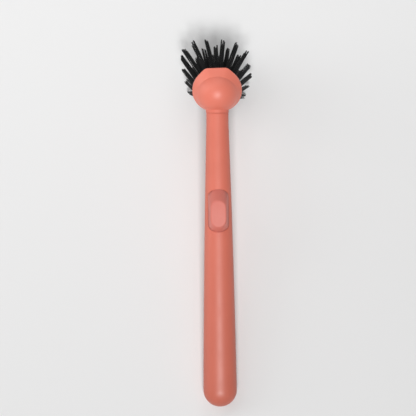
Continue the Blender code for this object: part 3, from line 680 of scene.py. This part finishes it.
def build_handle(material):
    """Hollow handle with a rounded lip at the neck and a well for the boss."""
    handle, boss, _, _ = settings()
    end = handle.length + handle.reach
    bore, ease = neck_bore(), handle.lip / 2
    outside = shaft_sections(0.0, end - handle.lip, butt_steps=22, shaft_steps=96)
    mouth = arc((handle.neck_width / 2 - handle.lip, end - handle.lip), handle.lip, 0.0, pi / 2, 5)[1:]
    mouth += arc((bore + ease, end - ease), ease, pi / 2, pi, 3)
    seat = handle.length - handle.liner_length - handle.fit
    mouth += [(bore, seat)]
    inwards = [oval_section(y, radius, radius) for radius, y in mouth]
    hollow = shaft_sections(handle.wall, seat - handle.wall, butt_steps=8, shaft_steps=16)
    skin = draw_through(outside + inwards + hollow[::-1], handle.sides, ACROSS)
    depth = boss.end_depth + boss.seam
    half_width, half_length = boss.width / 2 + boss.seam, boss.length / 2 + boss.seam
    levels = (-boss.well_depth, boss.face_height)
    well = draw_through(
        [bar_section(half_width, half_length, depth, z, boss.place) for z in levels], boss.sides)
    shell = combine(skin, well, "DIFFERENCE")
    make_piece("handle_moulding", shell, brush_place(), "handle", "coral_plastic", material, "handle_shell")


def key_bar(width, low, high, start, end):
    """A square bar along the handle's axis."""
    bm = bmesh.new()
    bmesh.ops.create_cube(bm, size=1.0)
    middle = Vector((0.0, (start + end) / 2, (low + high) / 2))
    move(bm, Matrix.Translation(middle) @ Matrix.Diagonal((width, end - start, high - low, 1.0)))
    return bm


def key_room(start, end):
    """A bar that takes in the key, with a fit round it."""
    handle = bpy.context.scene.brush_handle
    low = liner_bore() - handle.key_height - handle.fit
    return key_bar(handle.key_width + 2 * handle.fit, low, neck_bore(), start, end)


def liner_bore():
    """Radius of the bore in the neck liner."""
    handle = bpy.context.scene.brush_handle
    return neck_bore() - handle.fit - handle.liner_wall


def build_liner(material):
    """Blind liner in the neck with an eased mouth and a key."""
    handle = bpy.context.scene.brush_handle
    outer, inner = neck_bore() - handle.fit, liner_bore()
    start, end = handle.length - handle.liner_length, handle.length - handle.fit
    ease = handle.liner_wall / 4
    profile = [(0.0, start), (outer - ease, start), (outer, start + ease), (outer, end - ease)]
    profile += arc((outer - ease, end - ease), ease, 0.0, pi / 2, 3)[1:]
    profile += arc((inner + ease, end - ease), ease, pi / 2, pi, 3)
    profile += [(inner, start + handle.liner_floor), (0.0, start + handle.liner_floor)]
    key = key_bar(
        handle.key_width, inner - handle.key_height, inner + handle.liner_wall / 2,
        start + handle.liner_floor / 2, end - handle.fit)
    liner = combine(turned(profile, STEM_SIDES, ALONG), key, "UNION")
    make_piece("neck_liner", liner, brush_place(), "handle", "liner_plastic", material, "neck_sleeve")


def build_cap(material):
    """Magnet cap: leaning flanks, half-oval ends and a rounded edge round its face."""
    boss = bpy.context.scene.brush_boss
    crown = half_sizes(boss.place)[1]
    sections = [bar_section(boss.width / 2, boss.length / 2, boss.end_depth, -boss.foot, boss.place)]
    for z in (boss.skirt, crown, (crown + boss.face_height) / 2, boss.face_height):
        side = max(0.0, (z - boss.skirt) / (boss.face_height - boss.skirt))
        end = max(0.0, (z - crown) / (boss.face_height - crown))
        half_width = (boss.width + (boss.face_width - boss.width) * side) / 2
        half_length = (boss.length + (boss.face_length - boss.length) * end) / 2
        sections.append(bar_section(
            half_width, half_length, boss.end_depth, z, boss.place - boss.face_shift * end))
    bm = draw_through(sections, boss.sides)
    foot = min(bm.faces, key=lambda face: face.calc_center_median().z)
    face = max(bm.faces, key=lambda face: face.calc_center_median().z)
    bmesh.ops.bevel(
        bm, geom=list(face.edges), offset=boss.edge, offset_type="OFFSET", segments=6, profile=0.5,
        affect="EDGES", material=-1, clamp_overlap=True,
    )
    bmesh.ops.delete(bm, geom=[foot], context="FACES_ONLY")
    bmesh.ops.solidify(bm, geom=list(bm.faces), thickness=boss.wall)
    make_piece("magnet_cap_moulding", bm, brush_place(), "handle", "coral_cap", material, "magnet_cap")


def head_profile():
    """Outside of the head before its nose is shaped: ball, hollow crease, flare and rounded rim."""
    head = bpy.context.scene.brush_head
    reach = head.dome_radius + head.crease_round
    start = asin((head.crease_height + head.crease_round / 2) / reach)
    hollow = (reach * cos(start), reach * sin(start))
    points = arc((0.0, 0.0), head.dome_radius, pi / 2, start, 40)
    points[0] = (0.0, head.dome_radius)
    points += arc(hollow, head.crease_round, pi + start, pi + head.flare, 8)[1:]
    edge = head.rim_edge
    points += arc((head.rim_radius - edge / 2, lip_height()), edge / 2, pi / 3, 0.0, 5)
    points += arc((head.rim_radius - edge, -head.rim_drop + edge), edge, 0.0, -pi / 2, 6)
    points += [(0.0, -head.rim_drop)]
    return points


def rim_reach(turn):
    """Radius of the lip at an angle from the front: a circle, drawn out to a straight edge in front."""
    head = bpy.context.scene.brush_head
    turn = abs(turn - head.nose_skew)
    if turn < head.nose_turn:
        return min(head.nose_corner, head.nose_reach / cos(turn))
    step = max(0.0, (head.nose_side - turn) / (head.nose_side - head.nose_turn))
    return head.rim_radius + (head.nose_corner - head.rim_radius) * step ** 2


def foot_reach(turn):
    """Radius of the rim's lower edge: a circle, trimmed flat under the scraping edge."""
    head = bpy.context.scene.brush_head
    across = cos(turn - head.nose_skew)
    if across * head.rim_radius < head.nose_foot:
        return head.rim_radius
    return head.nose_foot / across


def lip_height():
    """Height of the outermost edge of the flange."""
    head = bpy.context.scene.brush_head
    return head.flare_foot - head.rim_edge / 2


def skirt_radius(height):
    """Radius of the straight skirt that runs from the ball down to the rim behind the nose."""
    head = bpy.context.scene.brush_head
    foot = lip_height()
    reach = hypot(head.rim_radius, foot)
    start = atan2(foot, head.rim_radius) + acos(head.dome_radius / reach)
    rise = (height - foot) / (head.dome_radius * sin(start) - foot)
    if not 0.0 <= rise <= 1.0:
        return 0.0
    return head.rim_radius + (head.dome_radius * cos(start) - head.rim_radius) * rise


def crease_depth(turn):
    """1 in front, where a crease parts ball and flange, easing to 0 behind."""
    head = bpy.context.scene.brush_head
    step = min(1.0, max(0.0, (head.crease_end - abs(turn)) / (head.crease_end - head.crease_full)))
    return step * step * (3.0 - 2.0 * step)


def shape_head(bm):
    """Fill the crease behind the nose and draw the front of the flange out to its scraping edge."""
    head = bpy.context.scene.brush_head
    crease_radius = sqrt(head.dome_radius ** 2 - head.crease_height ** 2)
    for vert in bm.verts:
        turn = atan2(vert.co.x, vert.co.y)
        radius = hypot(vert.co.x, vert.co.y)
        if radius < MERGE_DISTANCE:
            continue
        filled = radius + max(0.0, skirt_radius(vert.co.z) - radius) * (1.0 - crease_depth(turn))
        factor = filled / radius
        if radius > crease_radius and vert.co.z < head.crease_height + head.crease_round:
            out = min(1.0, (radius - crease_radius) / (head.rim_radius - head.rim_edge - crease_radius))
            undercut = min(1.0, (vert.co.z + head.rim_drop) / (lip_height() + head.rim_drop)) ** 2
            reach = foot_reach(turn) + (rim_reach(turn) - foot_reach(turn)) * undercut
            factor *= 1.0 + out * (reach / head.rim_radius - 1.0)
        vert.co.x *= factor
        vert.co.y *= factor


def collar_face():
    """Place of the collar's face along the handle, just clear of the neck."""
    handle = bpy.context.scene.brush_handle
    return handle.length + handle.reach + handle.seam


def collar_profile():
    """Collar with a rounded edge and a hollow that runs out on the ball."""
    head = bpy.context.scene.brush_head
    face, middle = collar_face(), ball_place()
    edge = head.collar_edge
    ball = head.dome_radius - head.collar_bite
    across = head.collar_radius + head.collar_fillet
    along = sqrt((ball + head.collar_fillet) ** 2 - across ** 2)
    end = atan2(along, across)
    inside = middle - head.dome_radius / 2
    points = [(0.0, face)]
    points += arc((head.collar_radius - edge, face + edge), edge, -pi / 2, 0.0, 5)
    points += arc((across, middle - along), head.collar_fillet, pi, pi - end, 10)
    points += [(head.collar_radius - edge, inside), (0.0, inside)]
    return points


def stem_radius():
    """Radius of the stem, a running fit in the liner."""
    return liner_bore() - bpy.context.scene.brush_handle.fit


def stem_profile():
    """Stem with an eased tip and a groove for the seal."""
    handle, _, head, _ = settings()
    edge, radius = head.stem_edge, stem_radius()
    tip, end = stem_face() - head.stem_length, stem_face() + head.stem_root_depth
    groove, half = stem_face() - head.groove_place, head.groove_width / 2
    floor, root = radius - head.groove_depth, collar_face() + handle.lip
    points = [(0.0, tip)]
    points += arc((radius - edge, tip + edge), edge, -pi / 2, 0.0, 5)
    points += [(radius, groove - half), (floor, groove - half)]
    points += [(floor, groove + half), (radius, groove + half)]
    points += [(radius, root), (head.stem_root, root), (head.stem_root, end), (0.0, end)]
    return points


def cavity():
    """Space inside the head: eased mouth, shoulder for the block and the hollow of the ball."""
    head = bpy.context.scene.brush_head
    inner = head.dome_radius - head.dome_wall
    mouth = head.rim_radius - head.mouth_wall
    shoulder = head.shoulder_height - head.rim_drop
    chamber = mouth - head.shoulder_width
    spring = asin((head.crease_height - head.dome_wall / 2) / inner)
    below = -head.rim_drop - head.mouth_edge
    points = [(0.0, below), (mouth + 2 * head.mouth_edge, below), (mouth, head.mouth_edge - head.rim_drop)]
    points += [(mouth, shoulder), (chamber, shoulder), (chamber, shoulder + head.shoulder_width)]
    points += arc((0.0, 0.0), inner, spring, pi / 2, 14)
    points[-1] = (0.0, inner)
    return turned(points, CAVITY_SIDES)


def build_head(material):
    """Ball head in one piece with its flange, scraping nose, collar and stem."""
    handle, _, head, _ = settings()
    face = stem_face()
    outside = turned(head_profile(), head.sides)
    shape_head(outside)
    bmesh.ops.recalc_face_normals(outside, faces=outside.faces)
    hollow = cavity()
    for form in (outside, hollow):
        move(form, head_in_brush())
    room, back = handle.neck_width / 2 + head.relief, face - head.dome_radius
    relief = [(0.0, back), (room, back), (room, face), (0.0, face)]
    tip, core_end = face - head.stem_length, face + head.dome_wall * 2
    core_tip = tip + head.stem_core_wall
    core = [(0.0, core_tip), (head.stem_core, core_tip), (head.stem_core, core_end), (0.0, core_end)]
    shell = combine(outside, turned(relief, STEM_SIDES, ALONG), "DIFFERENCE")
    shell = combine(shell, turned(collar_profile(), WIDE_SIDES, ALONG), "UNION")
    shell = combine(shell, hollow, "DIFFERENCE")
    shell = combine(shell, turned(stem_profile(), STEM_SIDES, ALONG), "UNION")
    shell = combine(shell, turned(core, CORE_SIDES, ALONG), "DIFFERENCE")
    shell = combine(shell, key_room(tip - handle.fit, face - handle.fit), "DIFFERENCE")
    make_piece("head_moulding", shell, brush_place(), "head", "coral_plastic", material, "head_shell")


def build_seal(material):
    """Round silicone ring in the stem's groove, notched for the key."""
    handle, _, head, _ = settings()
    floor = stem_radius() - head.groove_depth
    thick = (head.groove_depth - handle.fit) / 2
    bm = bmesh.new()
    ring = bmesh.ops.create_circle(bm, segments=14, radius=thick, matrix=ACROSS)["verts"]
    bmesh.ops.translate(bm, verts=ring, vec=(floor + handle.fit + thick, 0.0, 0.0))
    spin_round(bm, ring + list(bm.edges), STEM_SIDES)
    middle = stem_face() - head.groove_place
    move(bm, Matrix.Translation((0.0, middle, 0.0)) @ ALONG)
    ring = combine(bm, key_room(middle - 2 * thick, middle + 2 * thick), "DIFFERENCE")
    make_piece("seal_ring", ring, brush_place(), "head", "seal_silicone", material, "stem_seal")


def block_face():
    """Height of the block's face in the head's frame."""
    _, _, head, tufts = settings()
    return tufts.recess - head.rim_drop


def outer_ring():
    """Radius of the outer ring of tufts."""
    _, _, head, tufts = settings()
    return head.rim_radius - head.mouth_wall - tufts.margin


def tuft_places():
    """Foot and direction of each tuft, ring by ring, in the head's frame."""
    middle = Vector((0.0, 0.0, block_face()))
    apex = Vector((0.0, 0.0, block_face() + bpy.context.scene.brush_tufts.fan_depth))
    places = {}
    for ring, (radius_share, turn_share) in RING_SHARES.items():
        places[ring] = []
        for index in range(len(LEANS[ring])):
            turn = 2 * pi * (index + turn_share) / len(LEANS[ring])
            foot = middle + Vector((sin(turn), cos(turn), 0.0)) * outer_ring() * radius_share
            places[ring].append((foot, (foot - apex).normalized()))
    return places


def tuft_turn(foot, direction):
    """Matrix that stands a tuft on its foot."""
    turn = Vector((0.0, 0.0, 1.0)).rotation_difference(direction)
    return Matrix.Translation(foot) @ turn.to_matrix().to_4x4()


def build_block(material):
    """Stepped disc with a round hole for each tuft."""
    handle, _, head, tufts = settings()
    mouth = head.rim_radius - head.mouth_wall
    outer, inner = mouth - handle.fit, mouth - head.shoulder_width - handle.fit
    step = head.shoulder_height - head.rim_drop - handle.fit
    face, back = block_face(), block_face() + tufts.block_thickness
    edge = tufts.block_edge
    profile = [(0.0, face)]
    profile += arc((outer - edge, face + edge), edge, -pi / 2, 0.0, 4)
    profile += [(outer, step), (inner, step), (inner, back - edge), (inner - edge, back), (0.0, back)]
    drills = bmesh.new()
    length = tufts.hole_depth + tufts.hole_radius
    middle = Matrix.Translation((0.0, 0.0, length / 2 - tufts.hole_depth))
    for spots in tuft_places().values():
        for foot, direction in spots:
            bmesh.ops.create_cone(
                drills, cap_ends=True, segments=20, radius1=tufts.hole_radius, radius2=tufts.hole_radius,
                depth=length, matrix=tuft_turn(foot, direction) @ middle,
            )
    block = combine(turned(profile, WIDE_SIDES), drills, "DIFFERENCE")
    place = brush_place() @ head_in_brush()
    make_piece("tuft_block_moulding", block, place, "head", "block_plastic", material, "tuft_block")


def strand_feet(number, reach):
    """Even spread of feet over a round hole, on a sunflower spiral."""
    golden = pi * (3.0 - sqrt(5.0))
    for index in range(number):
        radius = reach * sqrt((index + 0.5) / number)
        yield Vector((cos(index * golden), sin(index * golden), 0.0)) * radius


def tuft_strands(length, lean, rng, room):
    """One tuft standing on the origin: bristles that part into bundles and end unevenly."""
    tufts = bpy.context.scene.brush_tufts
    bm = bmesh.new()
    tone = bm.verts.layers.float.new("tone")
    along = bm.verts.layers.float.new("along")
    bundles = []
    for index in range(tufts.clumps):
        turn = 2 * pi * (index + rng.uniform(-BUNDLE_TURN_SHARE, BUNDLE_TURN_SHARE)) / tufts.clumps
        way = Vector((cos(turn), sin(turn), 0.0))
        drift = way * rng.uniform(*BUNDLE_DRIFT_SHARES) * tufts.clump_drift
        trim = rng.uniform(*BUNDLE_TRIM_SHARES) * tufts.clump_trim
        bundles.append((way, drift, trim))
    longest = rng.randrange(tufts.clumps)
    bundles[longest] = (*bundles[longest][:2], 0.0)
    reach = tufts.hole_radius - tufts.strand_radius
    mixing = MIXING_SHARE * reach
    start = -tufts.hole_depth / 3
    for foot in strand_feet(tufts.strands, reach):
        _, drift, trim = max(bundles, key=lambda bundle: bundle[0].dot(foot) + rng.uniform(-mixing, mixing))
        stray = Vector((rng.uniform(-1.0, 1.0), rng.uniform(-1.0, 1.0), 0.0)) * tufts.clump_drift
        sideways = drift + stray * STRAY_SHARE
        end = length + tufts.over_trim - trim - rng.uniform(0.0, 1.0) * tufts.strand_trim
        mark = rng.uniform(0.0, 1.0)
        before = None
        for part, wide in TUFT_SHARES:
            place = foot * wide + sideways * part ** PARTING_CURVE + lean * length * part ** LEAN_CURVE
            place.z += start + (end - start) * part
            if before is None:
                ring = bmesh.ops.create_circle(
                    bm, segments=5, radius=tufts.strand_radius, cap_ends=True,
                    matrix=Matrix.Translation(place))["verts"]
                face = ring[0].link_faces[0]
            else:
                if part == 1.0:
                    place = limit_reach(before, place, room)
                grown = bmesh.ops.extrude_face_region(bm, geom=[face])["geom"]
                ring = kind_of(grown, bmesh.types.BMVert)
                face = kind_of(grown, bmesh.types.BMFace)[0]
                bmesh.ops.translate(bm, verts=ring, vec=place - before)
            for vert in ring:
                vert[tone] = mark
                vert[along] = part
            before = place
    return bm


def limit_reach(before, place, room):
    """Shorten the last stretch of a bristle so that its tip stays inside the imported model's box."""
    start, end = room(before), room(place)
    if end >= 0.0:
        return place
    return before + (place - before) * max(SHORTEST_SHARE, start / (start - end))


def room_round(to_ground):
    """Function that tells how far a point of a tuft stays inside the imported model's box."""
    low, high = packed_box
    radius = bpy.context.scene.brush_tufts.strand_radius

    def room(point):
        spot = to_ground @ point
        return min(min(at - least, most - at) for at, least, most in zip(spot, low, high)) - radius

    return room


def tuft_lean(foot, degrees):
    """Sideways reach of a leaning tuft for each metre of its length, in the head's frame."""
    outwards = Vector((foot.x, foot.y, 0.0))
    outwards = outwards.normalized() if outwards.length > MERGE_DISTANCE else Vector((0.0, 1.0, 0.0))
    onwards = Vector((outwards.y, -outwards.x, 0.0))
    return onwards * tan(radians(degrees[0])) + outwards * tan(radians(degrees[1]))


def build_bristles(material):
    """Fanned tufts of black bristles, one piece for each ring."""
    tufts = bpy.context.scene.brush_tufts
    rng = random.Random(tufts.seed)
    place = brush_place() @ head_in_brush()
    for ring, spots in tuft_places().items():
        bristles = bmesh.new()
        for (foot, direction), degrees in zip(spots, LEANS[ring]):
            outward = hypot(foot.x, foot.y) / outer_ring()
            length = (tufts.reach + tufts.recess + tufts.crown * (1.0 - outward ** 2)) / -direction.z
            stand = tuft_turn(foot, direction)
            lean = stand.to_3x3().inverted() @ tuft_lean(foot, degrees)
            tuft = tuft_strands(length, lean, rng, room_round(place @ stand))
            move(tuft, stand)
            mesh = bpy.data.meshes.new("tuft")
            tuft.to_mesh(mesh)
            tuft.free()
            bristles.from_mesh(mesh)
            bpy.data.meshes.remove(mesh)
        nodes = [f"{ring}_tuft_{index + 1:02d}" for index in range(len(spots))]
        if ring == "centre":
            nodes = ["centre_tuft"]
        make_piece(f"{ring}_bristles", bristles, place, "head", "black_nylon", material, *nodes)


def build_floor():
    """Pale matt floor that takes the brush's shadow, with painted light: paler beyond the head and darker beyond
    the butt.
    """
    scene = bpy.context.scene
    finish = Finish("studio_floor_paint")
    clouds = finish.noise(3.0, 3.0)
    grain = finish.noise(700.0, 2.0)
    colours = scene.brush_colours
    # Painted light along the floor, from darker beyond the butt to paler beyond the head.
    far = finish.span(finish.along() + clouds * 0.04, *FLOOR_PAINTED_LIGHT_STRETCH)
    finish.surface(
        base_color=finish.between(far, colours.floor_painted_shade, colours.floor),
        roughness=0.85 + grain * 0.1,
    )
    finish.relief(grain, 0.00002, 0.2)
    bm = bmesh.new()
    bmesh.ops.create_grid(bm, x_segments=8, y_segments=8, size=scene.brush_studio.floor_size / 2)
    floor = mesh_object("studio_floor", bm)
    floor.data.materials.append(finish.material)


def build_air():
    """Even light from all round, with a pale backdrop for the camera and for reflections."""
    scene = bpy.context.scene
    world = bpy.data.worlds.new("studio_air")
    world.use_nodes = True
    scene.world = world
    recipe = Recipe(world.node_tree)
    even = world.node_tree.nodes["Background"]
    recipe.feed(even.inputs["Color"], (1.0, 1.0, 1.0, 1.0))
    recipe.feed(even.inputs["Strength"], scene.brush_studio.air_strength)
    sockets = {"Color": opaque(scene.brush_colours.air), "Strength": 1.0}
    backdrop = recipe.add("ShaderNodeBackground", None, sockets)
    rays = recipe.add("ShaderNodeLightPath").socket.node.outputs
    seen = Wire(recipe, rays["Is Camera Ray"])
    for name in ("Is Glossy Ray", "Is Transmission Ray"):
        seen = seen.sum("MAXIMUM", seen, Wire(recipe, rays[name]))
    sockets = {0: seen, 1: Wire(recipe, even.outputs[0]), 2: backdrop}
    mixed = recipe.add("ShaderNodeMixShader", None, sockets)
    recipe.feed(world.node_tree.nodes["World Output"].inputs["Surface"], mixed)


def build_lights():
    """Square soft boxes: one high beyond the butt, one low at the left, two near the head."""
    studio = bpy.context.scene.brush_studio
    # Name, place and width in metres, and power in watts.
    boxes = (
        ("key_box", Vector((0.04, -1.25, 2.5)), 0.85, studio.key_power),
        ("left_box", Vector((-1.5, 0.3, 0.6)), 1.0, studio.left_power),
        ("head_box", Vector((-0.50, 0.40, 0.78)), 0.55, studio.head_power),
        ("nose_box", Vector((0.08, 0.62, 0.58)), 0.5, studio.nose_power),
    )
    for name, place, width, watts in boxes:
        lamp = bpy.data.lights.new(name, "AREA")
        lamp.shape = "SQUARE"
        lamp.size = width
        lamp.energy = watts
        box = add_object(name, lamp)
        box.location = place
        box.rotation_euler = (LIGHT_TARGET - place).to_track_quat("-Z", "Y").to_euler()


def build_camera():
    """Camera high over the brush, a few degrees off the vertical towards the butt."""
    studio = bpy.context.scene.brush_studio
    eye = bpy.data.cameras.new("overhead_camera")
    camera = add_object("overhead_camera", eye)
    drop = studio.view_height - studio.view_level
    eye.lens = eye.sensor_width * drop / studio.view_width
    eye.clip_start = 0.05
    eye.clip_end = 50.0
    back = drop * sin(studio.view_tilt)
    rise = drop * cos(studio.view_tilt)
    camera.location = (studio.view_x, studio.view_y - back, studio.view_level + rise)
    camera.rotation_euler = (studio.view_tilt, 0.0, studio.view_turn)
    bpy.context.scene.camera = camera


class DISHBRUSH_OT_handle(Operator):
    """Handle moulding and the liner in its neck"""
    bl_idname = "dish_brush.handle"
    bl_label = "Handle"

    def execute(self, context):
        colours = context.scene.brush_colours
        lean = brush_place().to_euler().x
        # The grip tone paints shade on the handle towards the butt.
        build_handle(moulded_plastic(
            "coral_handle", colours.coral, colours.coral_deep, 0.41, -lean, colours.grip, GRIP_PAINTED_SHADE_STRETCH))
        build_liner(plain_moulding("liner_white", colours.liner, 0.42))
        return {"FINISHED"}


class DISHBRUSH_OT_boss(Operator):
    """Magnet cap and what it covers"""
    bl_idname = "dish_brush.boss"
    bl_label = "Magnet boss"

    def execute(self, context):
        colours = context.scene.brush_colours
        build_cap(moulded_plastic("coral_cap_finish", colours.cap, colours.cap_deep, 0.5))
        dress_node("magnet_tray", plain_moulding("tray_white", colours.liner, 0.45))
        steel = pressed_metal("yoke_steel_finish", colours.steel, 0.28, (3000.0, 60.0, 3000.0))
        dress_node("magnet_yoke", steel)
        nickel = pressed_metal("magnet_nickel_finish", colours.nickel, 0.12, (900.0, 900.0, 900.0))
        for node in ("magnet_neck_side", "magnet_butt_side"):
            dress_node(node, nickel)
        return {"FINISHED"}


class DISHBRUSH_OT_head(Operator):
    """Ball head with its scraping flange, stem and seal"""
    bl_idname = "dish_brush.head"
    bl_label = "Head"

    def execute(self, context):
        colours = context.scene.brush_colours
        # The ball tone paints light on the ball beyond the collar.
        build_head(moulded_plastic(
            "coral_head", colours.coral, colours.coral_deep, 0.41, 0.0, colours.ball, BALL_PAINTED_LIGHT_STRETCH))
        build_seal(silicone_rubber())
        return {"FINISHED"}


class DISHBRUSH_OT_bristles(Operator):
    """Block and its fanned tufts of bristles"""
    bl_idname = "dish_brush.bristles"
    bl_label = "Block and bristles"

    def execute(self, context):
        build_block(plain_moulding("block_black", context.scene.brush_colours.block, 0.5))
        build_bristles(nylon_bristle())
        return {"FINISHED"}


class DISHBRUSH_OT_studio(Operator):
    """Floor, backdrop, lights and camera"""
    bl_idname = "dish_brush.studio"
    bl_label = "Studio"

    def execute(self, context):
        context.scene.view_settings.view_transform = "Standard"
        build_floor()
        build_air()
        build_lights()
        build_camera()
        return {"FINISHED"}


OPERATORS = (
    DISHBRUSH_OT_handle, DISHBRUSH_OT_boss, DISHBRUSH_OT_head, DISHBRUSH_OT_bristles, DISHBRUSH_OT_studio)
GROUPS = {
    "brush_handle": BrushHandle,
    "brush_boss": BrushBoss,
    "brush_head": BrushHead,
    "brush_tufts": BrushTufts,
    "brush_colours": BrushColours,
    "brush_studio": BrushStudio,
}


class VIEW3D_PT_dish_brush(Panel):
    """Sizes, colours and pieces of the dish brush"""
    bl_label = "Dish Brush"
    bl_space_type = "VIEW_3D"
    bl_region_type = "UI"
    bl_category = "Dish Brush"

    def draw(self, context):
        for operator in OPERATORS:
            self.layout.operator(operator.bl_idname)
        for group in GROUPS:
            box = self.layout.box()
            box.label(text=group.replace("_", " ").capitalize())
            held = getattr(context.scene, group)
            for name in held.bl_rna.properties.keys():
                if name not in ("rna_type", "name"):
                    box.prop(held, name)


def register():
    """Add the classes and their settings to Blender."""
    for group, kind in GROUPS.items():
        bpy.utils.register_class(kind)
        setattr(bpy.types.Scene, group, PointerProperty(type=kind))
    for kind in (*OPERATORS, VIEW3D_PT_dish_brush):
        bpy.utils.register_class(kind)


def unregister():
    """Take the classes and their settings out again."""
    for kind in (VIEW3D_PT_dish_brush, *reversed(OPERATORS)):
        bpy.utils.unregister_class(kind)
    for group, kind in reversed(GROUPS.items()):
        delattr(bpy.types.Scene, group)
        bpy.utils.unregister_class(kind)


def main():
    """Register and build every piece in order."""
    register()
    bpy.ops.dish_brush.handle()
    bpy.ops.dish_brush.boss()
    bpy.ops.dish_brush.head()
    bpy.ops.dish_brush.bristles()
    bpy.ops.dish_brush.studio()


if __name__ == "__main__":
    main()
